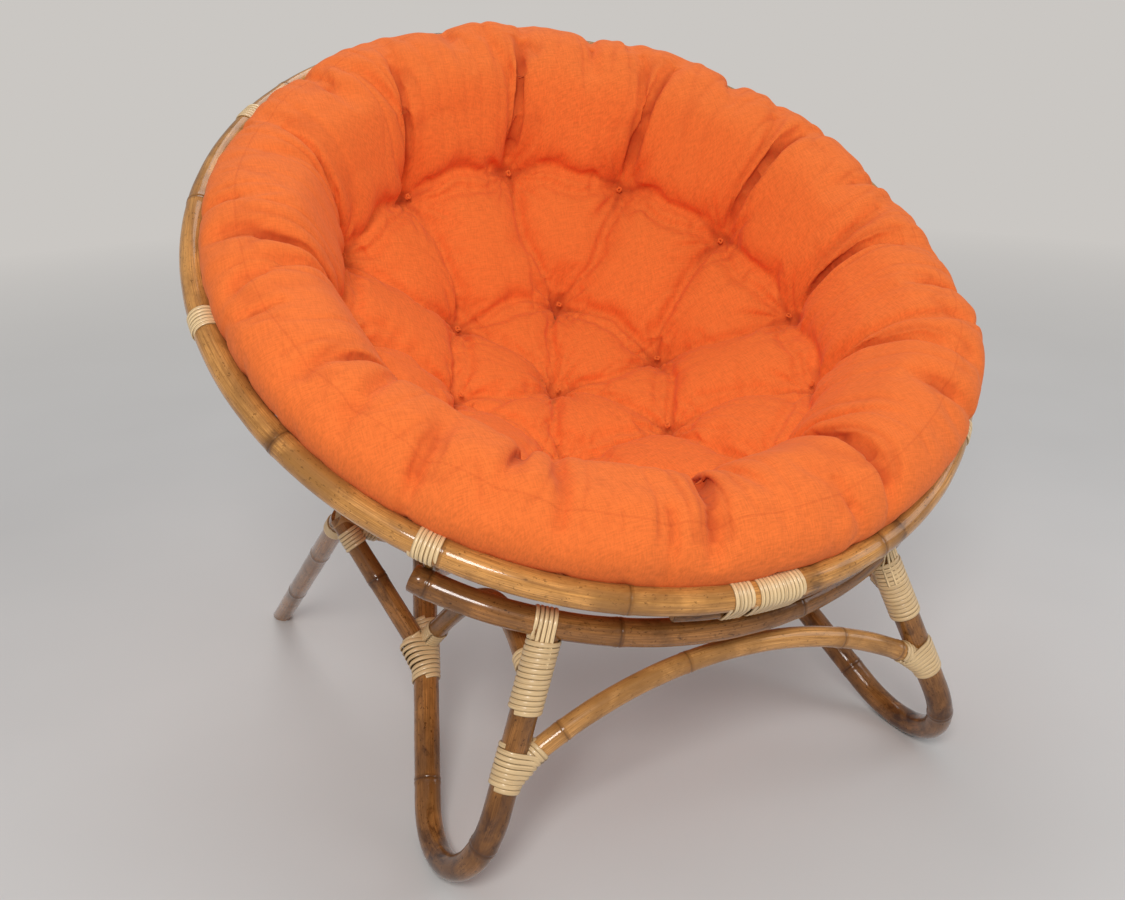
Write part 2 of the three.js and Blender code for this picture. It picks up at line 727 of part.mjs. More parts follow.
// The section of the pad as points of radius and height, from the middle of the dish over the crest
// to below.
function padSection() {
  const points = [];
  const dishHeight = (radius) => dishMiddle - Math.sqrt(padDishRadius ** 2 - radius ** 2);
  const addDish = (radius) => points.push(vec(radius, 0, dishHeight(radius)));
  const dishEndPolar = radians(padDishEndDegrees);
  const dishEnd = padDishRadius * Math.sin(dishEndPolar);
  const stops = [0, innerTuftRadius, outerTuftRadius, dishEnd];
  for (let stop = 1; stop < stops.length - 1; stop += 1) {
    for (const share of dishRingShares) {
      addDish(THREE.MathUtils.lerp(stops[stop - 1], stops[stop], share));
    }
    addDish(stops[stop]);
  }
  addDish((outerTuftRadius + dishEnd) / 2);
  addDish(dishEnd);
  const last = points[points.length - 1];
  const handle = crestHandleShare * (padCrestHeight - last.z);
  const crest = vec(padCrestRadius, 0, padCrestHeight);
  const rise = new THREE.CubicBezierCurve3(last,
    last.clone().add(vec(handle * Math.cos(dishEndPolar), 0, handle * Math.sin(dishEndPolar))),
    crest.clone().add(vec(-handle, 0, 0)), crest);
  points.push(rise.getPoint(1 / 2), crest);
  const rim = vec(padBall * Math.sin(padRimPolar), 0, -padRimDrop);
  const swell = padBulgeRadius - padCrestRadius;
  const side = new THREE.CubicBezierCurve3(crest,
    vec(padBulgeRadius + swell * upperBulgeShare, 0, padCrestHeight),
    vec(padBulgeRadius - swell * lowerBulgeShare, 0, padBulgeHeight / 2), rim);
  sideRingShares.forEach((share) => points.push(side.getPoint(share)));
  points.push(rim);
  const rings = [middleRingRadius, bottomRingRadius].map(polarOnPad);
  const polars = [(padRimPolar + rings[0]) / 2, rings[0], (rings[0] + rings[1]) / 2, rings[1]];
  for (const polar of polars) {
    points.push(vec(padBall * Math.sin(polar), 0, ballRise - padBall * Math.cos(polar)));
  }
  return points;
}

// How deep the skin is pulled in at a place on the dish or the side.
function padPull(radius, degrees, onSide) {
  const bell = (distance, spread) => Math.exp(-((distance / spread) ** 2));
  const away = (count, turn) => {
    const pitch = fullTurn / count;
    return Math.abs(THREE.MathUtils.euclideanModulo(degrees - turn + pitch / 2, pitch) - pitch / 2);
  };
  const innerAway = radians(away(innerTufts, innerTuftTurnDegrees));
  const outerAway = radians(away(outerTufts, outerTuftTurnDegrees));
  if (onSide) {
    return scallopDepth * bell(padCrestRadius * outerAway, tuftSpread);
  }
  const tuft = (turned, ring) =>
    bell(Math.hypot(radius - ring * Math.cos(turned), ring * Math.sin(turned)), tuftSpread);
  const inner = tuft(innerAway, innerTuftRadius);
  const outer = tuft(outerAway, outerTuftRadius);
  const middle = bell(radius, tuftSpread);
  const creaseSpread = tuftSpread / 2;
  const ringCrease = Math.max(bell(radius - innerTuftRadius, creaseSpread),
    bell(radius - outerTuftRadius, creaseSpread));
  const spoke = radius < innerTuftRadius ? bell(radius * innerAway, creaseSpread) : 0;
  const fan = radius > outerTuftRadius ? bell(radius * outerAway, creaseSpread) : 0;
  const crease = Math.max(ringCrease, spoke, fan);
  return Math.max(tuftDepth * Math.max(inner, outer, middle), creaseDepth * crease);
}

function padSkin() {
  const section = padSection();
  const crestAt = section.findIndex((point) => point.x === padCrestRadius);
  const rimAt = section.findIndex((point) => point.z === -padRimDrop);
  const rings = section.map((point, ring) => {
    const before = section[Math.max(ring - 1, 0)];
    const after = section[Math.min(ring + 1, section.length - 1)];
    const along = after.clone().sub(before).normalize();
    const outward = vec(-along.z, 0, along.x);
    return Array.from({ length: padSteps }, (_, step) => {
      const degrees = outerTuftTurnDegrees + (step * fullTurn) / padSteps;
      const pull = ring < rimAt ? padPull(point.x, degrees, ring > crestAt) : 0;
      const place = point.clone().addScaledVector(outward, -pull);
      return bowlPoint(place.x, degrees, place.z);
    });
  });
  const top = bowlPoint(0, 0, dishMiddle - padDishRadius - tuftDepth);
  const bottom = bowlPoint(0, 0, ballRise - padBall);
  const body = skin(rings, false);
  const sides = padSteps * rings.length;
  const bare = Array.from(body.index.array).slice(0, 6 * padSteps * (rings.length - 1));
  const position = [...body.attributes.position.array, top.x, top.y, top.z, bottom.x, bottom.y, bottom.z];
  for (let step = 0; step < padSteps; step += 1) {
    const next = (step + 1) % padSteps;
    bare.push(sides, next, step);
    bare.push(sides + 1, sides - padSteps + step, sides - padSteps + next);
  }
  const geometry = new THREE.BufferGeometry();
  geometry.setAttribute('position', new THREE.Float32BufferAttribute(position, 3));
  geometry.setIndex(bare.reverse());
  return geometry;
}

addPiece('seat_pad', padSkin(), orangeLinen);

// The whole chair stands over its own middle.
const box = new THREE.Box3().setFromObject(chair);
chair.position.y = -(box.min.y + box.max.y) / 2;

export default chair;
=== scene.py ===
# Papasan chair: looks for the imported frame. Bent poles, cane windings and a tufted pad of linen.
# Metres, +Z up, +Y to the back, origin on the floor under the middle of the chair.
import math

import bpy
import numpy as np
from bpy.props import FloatProperty, FloatVectorProperty, IntProperty, PointerProperty
from mathutils import Matrix, Vector
from mathutils.noise import noise


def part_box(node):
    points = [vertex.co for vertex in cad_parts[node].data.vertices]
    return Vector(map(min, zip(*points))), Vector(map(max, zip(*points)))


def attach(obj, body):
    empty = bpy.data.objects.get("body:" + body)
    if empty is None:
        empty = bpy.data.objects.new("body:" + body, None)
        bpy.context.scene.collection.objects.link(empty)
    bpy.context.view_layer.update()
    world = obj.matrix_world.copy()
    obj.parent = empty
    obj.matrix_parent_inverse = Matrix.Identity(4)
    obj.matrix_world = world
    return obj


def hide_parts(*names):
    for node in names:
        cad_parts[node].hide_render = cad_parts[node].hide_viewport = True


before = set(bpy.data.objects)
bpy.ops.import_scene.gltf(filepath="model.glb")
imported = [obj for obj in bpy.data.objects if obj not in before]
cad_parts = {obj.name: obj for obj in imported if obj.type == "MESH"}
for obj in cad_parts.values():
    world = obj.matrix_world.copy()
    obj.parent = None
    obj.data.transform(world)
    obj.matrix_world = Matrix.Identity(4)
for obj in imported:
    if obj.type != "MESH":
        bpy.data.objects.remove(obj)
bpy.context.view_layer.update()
HOOP_LOW, HOOP_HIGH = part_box("hoop")

bl_info = {
    "name": "Papasan chair",
    "version": (1, 0, 0),
    "blender": (4, 5, 0),
    "location": "View3D > Sidebar > Papasan",
    "description": "Builds the poles, windings and pad of a papasan chair on its packed frame",
    "category": "Add Mesh",
}

GAP, NOTCH = 0.0003, 0.0014  # between two poles that touch, and how deep one is notched into the other
BATTEN_SLOPE = math.radians(84)  # of the batten, down from the hoop's plane
HOOP_SEAM = 20.0  # degrees round the hoop at which its map starts
RIBS = [(number, 1.2 + 45 * (number - 1)) for number in range(1, 9)]
HEAD_OUT, CROSS_OUT = 0.240, 0.238  # a leg loop's head and its crossing of the saddle rail, from the middle
ARCH_FOOT, KNEE, BRACE_FOOT = 0.176, 0.178, 0.1645  # heights of the joints on a leg loop
LOOP_STEPS = 44  # points in one loop of cane
STRAND = 0.0009  # radius of the tufts' thread


# Sizes and colours

def length(name, about, default):
    return FloatProperty(name=name, description=about, default=default, unit="LENGTH", precision=4)


def loops(name, about, default):
    return IntProperty(name=name, description=about, default=default)


def colour(name, about, default):
    return FloatVectorProperty(name=name, description=about, default=default, subtype="COLOR",
                               size=3, min=0, max=1)


class ChairSizes(bpy.types.PropertyGroup):
    """Sizes of the poles, as in the frame"""
    middle_shift: length("Middle shift", "Hoop's middle behind the chair's", (HOOP_LOW.y + HOOP_HIGH.y) / 2)
    hoop_radius: length("Hoop radius", "Radius of the hoop's centre line", 0.540)
    hoop_pole: length("Hoop pole", "Diameter of the hoop, rails and leg loops", 0.035)
    hoop_height: length("Hoop height", "Height of the hoop's middle", 0.670)
    hoop_tilt: FloatProperty(name="Hoop tilt", description="How far the hoop leans down to the front",
                             default=math.radians(31.8), subtype="ANGLE")
    bowl_depth: length("Bowl depth", "From the hoop's plane to the ribs' lowest point", 0.380)
    rib_pole: length("Rib pole", "Diameter of the ribs and rings", 0.018)
    rib_inner: length("Rib reach", "Distance of the ribs' inner ends from the hoop's axis", 0.084)
    bottom_ring: length("Bottom ring", "Radius of the small ring", 0.110)
    middle_ring: length("Middle ring", "Radius of the wide ring", 0.340)
    batten_pole: length("Batten pole", "Diameter of the batten under the hoop's joint", 0.024)
    rail_drop: length("Rail drop", "How far the seat rail lies under the hoop's plane", 0.082)
    saddle_back: length("Saddle rail place", "How far the saddle rail lies behind the middle", 0.049)
    saddle_bend: length("Saddle rail bend", "Radius of the saddle rail's curve", 0.779)
    loop_bend: length("Leg bend", "Radius of the bend that each leg loop stands on", 0.111)
    rear_pole: length("Rear leg pole", "Diameter of the rear legs", 0.030)
    brace_pole: length("Brace pole", "Diameter of the rear braces", 0.029)
    arch_pole: length("Arch pole", "Diameter of the arches", 0.027)


class CaneSizes(bpy.types.PropertyGroup):
    """Sizes of the cane of the windings"""
    width: length("Cane width", "Width of a strip of cane on the hoop", 0.0050)
    leg_width: length("Leg cane width", "Width of a strip of cane on the legs", 0.0062)
    thickness: length("Cane thickness", "Thickness of a strip of cane", 0.0024)
    hoop_loops: loops("Hoop loops", "Loops of each lashing on the hoop", 6)
    leg_loops: loops("Leg loops", "Loops of each lashing under the seat rail", 14)
    foot_loops: loops("Arch foot loops", "Loops at each foot of the front arch", 8)
    knee_loops: loops("Knee loops", "Loops at the knee of each leg loop", 14)
    collar_loops: loops("Collar loops", "Loops round an arch's foot that meets a leg", 4)


class PadSizes(bpy.types.PropertyGroup):
    """Sizes of the pad"""
    thickness: length("Thickness", "Thickness of the pad in the bottom of the bowl", 0.112)
    dish_radius: length("Dish radius", "Radius of the hollow", 0.450)
    crest_radius: length("Crest radius", "Distance of the pad's crest from the axis", 0.462)
    crest_height: length("Crest height", "Height of the crest over the hoop's plane", 0.086)
    bulge_radius: length("Bulge radius", "Distance of the pad's widest place from the axis", 0.526)
    bulge_height: length("Bulge height", "Height of the widest place over the hoop's plane", 0.034)
    bulge_more: length("Bulge at the right", "How much wider the pad is at its right", 0.028)
    seam_radius: length("Seam radius", "Distance of the edge seam from the axis", 0.492)
    bulge_left: length("Bulge at the left", "How much wider the pad is at its left", 0.004)
    front_fill: length("Front fill", "How much higher the dish and crest are at the front", 0.034)
    tuft_depth: length("Tuft depth", "How deep the tufts are sewn in", 0.039)
    crease_depth: length("Crease depth", "Depth of the creases between tufts", 0.020)


class ChairColours(bpy.types.PropertyGroup):
    """Colours of the finishes"""
    honey: colour("Honey pole", "Hoop, ribs and rings", (0.56, 0.265, 0.072))
    dark: colour("Dark pole", "Legs, seat rail and braces", (0.30, 0.126, 0.034))
    pale: colour("Pale pole", "Saddle rail and front arch", (0.56, 0.275, 0.085))
    cane: colour("Cane", "Windings and straps", (0.80, 0.58, 0.31))
    linen: colour("Linen", "Cover of the pad", (0.82, 0.170, 0.032))
    floor: colour("Floor", "Floor under the chair", (0.620, 0.612, 0.608))
    backdrop: colour("Backdrop", "What shows behind the chair", (0.592, 0.570, 0.545))


# Vectors, paths and solids

def vec(x, y, z):
    return np.array((x, y, z), float)


ACROSS, UP = vec(1, 0, 0), vec(0, 0, 1)
SIDES = (("left", vec(1, 1, 1)), ("right", vec(-1, 1, 1)))  # left pieces are given, right ones mirrored


def unit(v):
    return v / np.linalg.norm(v, axis=-1, keepdims=True)


def line(start, end, step=0.004):
    count = max(2, int(np.linalg.norm(end - start) / step) + 1)
    return start + (end - start) * np.linspace(0, 1, count)[:, None]


def lengths_of(points):
    return np.concatenate([[0], np.cumsum(np.linalg.norm(np.diff(points, axis=0), axis=1))])


def rows_at(rows, known, wanted):
    """Rows at wanted places, from the rows at known places."""
    return np.stack([np.interp(wanted, known, column) for column in rows.T], axis=1)


def frames_of(points, closed=False):
    """Directions along a path, and two directions across it that do not twist."""
    if closed:
        along = np.roll(points, -1, axis=0) - np.roll(points, 1, axis=0)
    else:
        along = np.gradient(points, axis=0)
    along = unit(along)
    across = np.zeros_like(points)
    first = UP if abs(along[0][2]) < 0.7 else vec(0, 1, 0)
    for k, direction in enumerate(along):
        first = across[k] = unit(first - direction * (first @ direction))
    return along, across, np.cross(along, across)


def tube(points, radii, across, aside, angles):
    """Rings of points round a path."""
    return points[:, None] + radii[:, None, None] * (np.cos(angles)[None, :, None] * across[:, None]
                                                     + np.sin(angles)[None, :, None] * aside[:, None])


def read(vertices, kind="co"):
    values = np.zeros(len(vertices) * 3)
    vertices.foreach_get(kind, values)
    return values.reshape(-1, 3)


def mark(mesh, values):
    """Keeps four values for each point, which the finishes read."""
    marks = mesh.color_attributes.new("marks", "FLOAT_COLOR", "POINT")
    marks.data.foreach_set("color", values.astype(np.float32).ravel())


class Builder:
    """Gathers rings of points and makes one mesh of them, with lengths as its map."""

    def __init__(self):
        self.points, self.faces, self.maps, self.marks, self.kinds = [], [], [], [], []
        self.count = 0

    def add(self, points, faces, maps, marks, kind=0):
        self.points.append(points.reshape(-1, 3))
        self.marks.append(marks)
        self.faces += [[corner + self.count for corner in face] for face in faces]
        self.maps += [spot for face in maps for spot in face]
        self.kinds += [kind] * len(faces)
        self.count += len(self.points[-1])

    def rings(self, rings, places, rounds, marks, closed=False):
        """Skins rings. places are lengths along them, rounds are shares round each ring."""
        many, sides = rings.shape[:2]
        faces, maps = [], []
        for low in range(many if closed else many - 1):
            high = (low + 1) % many
            near, far = places[low], places[high] if high else places[low] + places[1] - places[0]
            for side in range(sides):
                after = (side + 1) % sides
                left, right = rounds[side], rounds[after] if after else rounds[0] + 1
                faces.append((low * sides + side, high * sides + side, high * sides + after, low * sides + after))
                maps.append(((near, left), (far, left), (far, right), (near, right)))
        self.add(rings, faces, maps, np.repeat(marks, sides, axis=0))

    def cap(self, ring, outward, kind):
        """Closes a ring with a flat end: kind 0 in the piece's first finish, 1 in its second."""
        middle, sides = ring.mean(0), len(ring)
        angles = 2 * math.pi * np.arange(sides) / sides
        spots = np.stack([0.5 + 0.5 * np.cos(angles), 0.5 + 0.5 * np.sin(angles)], axis=1)
        pairs = [(side, (side + 1) % sides) for side in range(sides)]
        if np.cross(ring[0] - middle, ring[1] - middle) @ outward <= 0:
            pairs = [pair[::-1] for pair in pairs]
        self.add(np.vstack([ring, middle]), [(*pair, sides) for pair in pairs],
                 [(spots[a], spots[b], (0.5, 0.5)) for a, b in pairs], np.zeros((sides + 1, 4)), kind)

    def make(self, name, materials, sizes):
        mesh = bpy.data.meshes.new(name)
        mesh.from_pydata((np.vstack(self.points) + vec(0, sizes.middle_shift, 0)).tolist(), [], self.faces)
        for material in materials:
            mesh.materials.append(material)
        mesh.polygons.foreach_set("material_index", self.kinds)
        mesh.polygons.foreach_set("use_smooth", [kind == 0 for kind in self.kinds])
        mesh.uv_layers.new(name="lengths")
        mesh.uv_layers["lengths"].data.foreach_set("uv", np.array(self.maps, float).ravel())
        mark(mesh, np.vstack(self.marks))
        mesh.update()
        piece = bpy.data.objects.new(name, mesh)
        bpy.context.scene.collection.objects.link(piece)
        return piece


# Poles

def pole_stations(total, nodes, closed, coarse=0.008, fine=0.0012, reach=0.012):
    """Lengths along a pole at which it has rings: close together at its growth nodes."""
    near = [np.arange(node - reach, node + reach, fine) for node in nodes]
    kept = []
    for place in np.sort(np.concatenate([np.arange(0, total, coarse), *near])):
        if 0 <= place < total and (not kept or place - kept[-1] > fine / 2):
            kept.append(place)
    return np.array(kept if closed else kept + [total])


def add_pole(builder, path, diameter, nodes=(), scorch=(), closed=False, sides=32, seed=1,
             ends=(True, True), stands=False, waver=0.012, bevel=0.0012):
    """A round pole with growth nodes.

    scorch lists (place, reach, amount) of darkened wood: burnt places, and painted shade where the pole lies in
    shadow. ends says which ends are bevelled and sawn.
    One that stands has its first end cut flat at the floor.
    """
    if closed:
        path = np.vstack([path, path[:1]])
    known = lengths_of(path)
    total = known[-1]
    places = pole_stations(total, nodes, closed)
    if stands:
        places = places[(places == 0) | (places > diameter)]
    points = rows_at(path, known, places)
    along, across, aside = frames_of(points, closed)
    radii = np.full(len(places), diameter / 2)
    for order, phase in enumerate(np.random.default_rng(seed).uniform(0, 2 * math.pi, 3), 2):
        turns = round(total / 0.21 * order) if closed else total / 0.21 * order
        radii += diameter / 2 * waver / order * np.sin(2 * math.pi * turns * places / total + phase)
    marks = np.zeros((len(places), 4))
    marks[:, 3] = np.random.default_rng(seed + 50).uniform(0, 1)
    for node in nodes:
        away = places - node
        radii += diameter * (0.026 * np.exp(-(away / 0.0055) ** 2) - 0.024 * np.exp(-(away / 0.0011) ** 2))
        marks[:, 0] = np.maximum(marks[:, 0], np.exp(-(away / 0.0012) ** 2))
        marks[:, 1] = np.maximum(marks[:, 1], np.exp(-np.abs(away) / 0.013) * (away < 0.004))
    for place, reach, amount in scorch:
        marks[:, 2] = np.maximum(marks[:, 2], amount * np.exp(-((places - place) / reach) ** 2))
    angles = 2 * math.pi * np.arange(sides) / sides
    rings = tube(points, radii, across, aside, angles)
    if stands:
        rings[0] = rings[0] - rings[0][:, 2:3] / along[0][2] * along[0]
    for end, inner in () if closed else ((0, 1), (-1, -2)):
        if ends[end]:
            rings[end] = points[end] + (rings[end] - points[end]) * (1 - 2 * bevel / diameter)
            shift = points[inner] - points[end]
            rings[inner] = rings[inner] - shift + unit(shift) * bevel
            places[inner] = places[end] + math.copysign(bevel, places[inner] - places[end])
    builder.rings(rings, places, angles / (2 * math.pi), marks, closed)
    if not closed:
        builder.cap(rings[0], -along[0], int(ends[0]))
        builder.cap(rings[-1], along[-1], int(ends[1]))


class Layout:
    """The chair's lines, as in the frame. Left pieces are given; right ones are mirror images."""

    def __init__(self, sizes):
        self.sizes = sizes
        tilt = sizes.hoop_tilt
        self.uphill = vec(0, math.cos(tilt), math.sin(tilt))
        self.axis = vec(0, -math.sin(tilt), math.cos(tilt))
        self.centre = vec(0, 0, sizes.hoop_height)
        self.ball = (sizes.hoop_radius ** 2 + sizes.bowl_depth ** 2) / (2 * sizes.bowl_depth)
        self.rise = self.ball - sizes.bowl_depth
        self.ball_centre = self.centre + self.axis * self.rise
        self.ring_ball = self.ball - sizes.rib_pole - GAP + NOTCH
        rail_ball = self.ball + sizes.rib_pole / 2 + GAP - NOTCH + sizes.hoop_pole / 2
        self.rail_radius = math.sqrt(rail_ball ** 2 - (self.rise + sizes.rail_drop) ** 2)
        self.saddle_middle = vec(0, sizes.saddle_back, self.ball_centre[2] + sizes.saddle_bend - math.sqrt(
            rail_ball ** 2 - (sizes.saddle_back - self.ball_centre[1]) ** 2))
        reach = sizes.hoop_pole / 2 + sizes.batten_pole / 2 + GAP - NOTCH
        self.batten_in, self.batten_down = reach * math.cos(BATTEN_SLOPE), reach * math.sin(BATTEN_SLOPE)
        self.settle_loop()

    def bowl_point(self, radius, degrees, height):
        spin = math.radians(degrees)
        return (self.centre + ACROSS * radius * math.cos(spin) + self.uphill * radius * math.sin(spin)
                + self.axis * height)

    def arc(self, radius, height, start, end, step=0.25):
        many = max(8, int(abs(end - start) / step) + 1)
        return np.array([self.bowl_point(radius, degrees, height) for degrees in np.linspace(start, end, many)])

    def hoop_path(self):
        return self.arc(self.sizes.hoop_radius, 0, HOOP_SEAM, HOOP_SEAM + 360)

    def on_hoop(self, degrees):
        """The length along the hoop's path at some degrees round it."""
        return math.radians((degrees - HOOP_SEAM) % 360) * self.sizes.hoop_radius

    def hoop_frame(self, places):
        """Cross directions of the hoop's path: outward, and down the axis."""
        spin = np.radians(HOOP_SEAM + np.degrees(places / self.sizes.hoop_radius))[:, None]
        return np.cos(spin) * ACROSS + np.sin(spin) * self.uphill, np.tile(-self.axis, (len(places), 1))

    def rib_path(self, degrees):
        rim, inner = (math.asin(reach / self.ball) for reach in (self.sizes.hoop_radius, self.sizes.rib_inner))
        return np.array([self.bowl_point(self.ball * math.sin(p), degrees, self.rise - self.ball * math.cos(p))
                         for p in np.linspace(rim, inner, 90)])

    def ring_path(self, radius):
        return self.arc(radius, self.rise - math.sqrt(self.ring_ball ** 2 - radius ** 2), 10, 370, 0.5)[:-1]

    def saddle_point(self, out):
        sizes = self.sizes
        return vec(-out, sizes.saddle_back, self.saddle_middle[2] - math.sqrt(sizes.saddle_bend ** 2 - out ** 2))

    def rail_degrees(self, out):
        return 360 - math.degrees(math.acos(-out / self.rail_radius))

    def bend_for(self, cross):
        """A leg loop's bend when its rear straight runs to a point: normal, centre and both ends."""
        normal = unit(np.cross(cross - self.loop_foot, self.loop_head - self.loop_foot))
        bend = self.sizes.loop_bend
        centre = self.loop_foot + unit(UP - normal * normal[2]) * bend

        def touch(point, side):
            away = point - centre
            reach = bend ** 2 / np.linalg.norm(away)
            return centre + unit(away) * reach + unit(np.cross(side, away)) * math.sqrt(bend ** 2 - reach ** 2)

        return normal, centre, touch(self.loop_head, normal), touch(cross, -normal)

    def settle_loop(self):
        """Finds the leg loop's bend and straights: the rear one leans on the saddle rail."""
        self.loop_head = self.bowl_point(self.rail_radius, self.rail_degrees(HEAD_OUT), -self.sizes.rail_drop)
        self.loop_foot = vec(-0.366, -0.285, self.sizes.hoop_pole / 2 - 0.0006)
        cross = rail = self.saddle_point(CROSS_OUT)
        rail_along = unit(np.cross(rail - self.saddle_middle, vec(0, 1, 0)))
        for _ in range(12):
            apart = unit(np.cross(cross - self.bend_for(cross)[3], rail_along))
            cross = rail + apart * (self.sizes.hoop_pole + GAP - NOTCH) * math.copysign(1, apart[1])
        self.normal, self.bend_centre, self.front_touch, self.rear_touch = self.bend_for(cross)
        self.front_line = unit(self.loop_head - self.front_touch)
        self.rear_line = unit(cross - self.rear_touch)
        self.loop_top = cross + self.rear_line * 0.038

    def loop_path(self):
        spoke, end = self.front_touch - self.bend_centre, self.rear_touch - self.bend_centre
        sweep = math.acos(np.clip(unit(spoke) @ unit(end), -1, 1))
        bend = np.array([self.bend_centre + spoke * math.cos(swing) + np.cross(self.normal, spoke) * math.sin(swing)
                         for swing in np.arange(61) * sweep / 60])
        return np.vstack([line(self.loop_head, self.front_touch)[:-1], bend,
                          line(self.rear_touch, self.loop_top)[1:]])

    def on_front(self, height):
        return self.front_touch + self.front_line * (height - self.front_touch[2]) / self.front_line[2]

    def on_rear(self, height):
        return self.rear_touch + self.rear_line * (height - self.rear_touch[2]) / self.rear_line[2]

    def rear_leg_path(self):
        return line(vec(-0.383, 0.469, 0), self.saddle_point(0.372))

    def brace_path(self):
        return line(self.on_rear(BRACE_FOOT), self.saddle_point(0.376))

    def front_arch_path(self):
        foot, rise = self.on_front(ARCH_FOOT), 0.099
        radius = (foot[0] ** 2 + rise ** 2) / (2 * rise)
        swings = np.linspace(-1, 1, 180) * math.asin(-foot[0] / radius)
        return np.array([vec(radius * math.sin(s), foot[1], foot[2] + rise - radius * (1 - math.cos(s)))
                         for s in swings])

    def side_arch_path(self):
        low, high = self.on_rear(KNEE), self.on_front(0.284)
        shares = np.linspace(0, 1, 90)[:, None]
        return low + (high - low) * shares + np.sin(math.pi * shares) * vec(0.023, 0, 0.084)


# Cane

def hull_outline(circles, offset):
    """The tight loop round one or two circles, as (x, y, outward x, outward y) at even lengths."""
    rows = []
    for swing in np.linspace(0, 2 * math.pi, 720, endpoint=False):
        out = np.array((math.cos(swing), math.sin(swing)))
        middle, radius = max(circles, key=lambda circle: out @ np.array(circle[0]) + circle[1])
        rows.append([*(np.array(middle) + out * (radius + offset)), *out])
    rows = np.array(rows + rows[:1])
    places = lengths_of(rows[:, :2])
    return rows_at(rows, places, np.linspace(0, places[-1], LOOP_STEPS, endpoint=False))


CANE_SECTION = np.array([(-0.5, -0.42), (-0.5, 0.05), (-0.40, 0.34), (-0.2, 0.48), (0, 0.52), (0.2, 0.48),
                         (0.40, 0.34), (0.5, 0.05), (0.5, -0.42)])


def add_strip(builder, centres, lifts, width, thickness, seed=0, aged=0.0):
    """A flat strip of cane on its centre line. lifts point away from what it lies on."""
    alongs = unit(np.gradient(centres, axis=0))
    sides = unit(np.cross(alongs, lifts))
    rings = (centres[:, None] + CANE_SECTION[None, :, :1] * width * sides[:, None]
             + CANE_SECTION[None, :, 1:] * thickness * lifts[:, None])
    marks = np.zeros((len(centres), 4))
    marks[:, 0] = aged
    marks[:, 3] = np.random.default_rng(seed).uniform(0, 1)
    many = len(CANE_SECTION)
    builder.rings(rings, lengths_of(centres), np.linspace(0, 1 - 1 / many, many), marks)
    builder.cap(rings[0], -alongs[0], 0)
    builder.cap(rings[-1], alongs[-1], 0)


def winding_spots(circles, offset, count):
    """The winding's outline point by point. circles may be a function of the loop's number."""
    turns, spots = np.divmod(np.arange(count), LOOP_STEPS)
    if not callable(circles):
        return hull_outline(circles, offset)[spots]
    outlines = np.array([hull_outline(circles(turn), offset) for turn in range(turns[-1] + 2)])
    rest = (spots / LOOP_STEPS)[:, None]
    return outlines[turns, spots] * (1 - rest) + outlines[turns + 1, spots] * rest


def add_winding(builder, path, start, loops, circles, cane, frame_at=None, seed=0, lift=0.0, slant=0.0,
                width=None, lean=None, aged=0.0):
    """A strip of cane wound round a path, from a length along it. lean tips the loops along the path."""
    width = width or cane.width
    count = int(loops * LOOP_STEPS) + 1
    wobble = np.cumsum(np.random.default_rng(seed).normal(0, 0.00022, int(loops) + 3))
    shares = np.arange(count) / LOOP_STEPS
    places = (start + width * 1.04 * shares + slant * np.sin(2 * math.pi * shares)
              + np.interp(shares, np.arange(len(wobble)), wobble))
    spots = winding_spots(circles, cane.thickness * 0.45 + lift, count)
    if lean is not None:
        across, aside = frame_at(places)
        places = places + (spots[:, :1] * across + spots[:, 1:2] * aside) @ lean
    points = rows_at(path, lengths_of(path), places)
    across, aside = frame_at(places) if frame_at else frames_of(points)[1:]
    tuck = np.minimum(1, np.minimum(np.arange(count), count - 1 - np.arange(count)) / (LOOP_STEPS * 0.12))
    depth = (1 - tuck) * -cane.thickness * 0.8
    lifts = spots[:, 2:3] * across + spots[:, 3:4] * aside
    centres = points + spots[:, :1] * across + spots[:, 1:2] * aside + depth[:, None] * lifts
    add_strip(builder, centres, lifts, width, cane.thickness, seed, aged)


def steady(path):
    """Cross directions of a straight path."""
    along = unit(path[-1] - path[0])
    across = unit(UP - along * along[2])
    return lambda places: [np.tile(way, (len(places), 1)) for way in (across, np.cross(along, across))]


# Materials

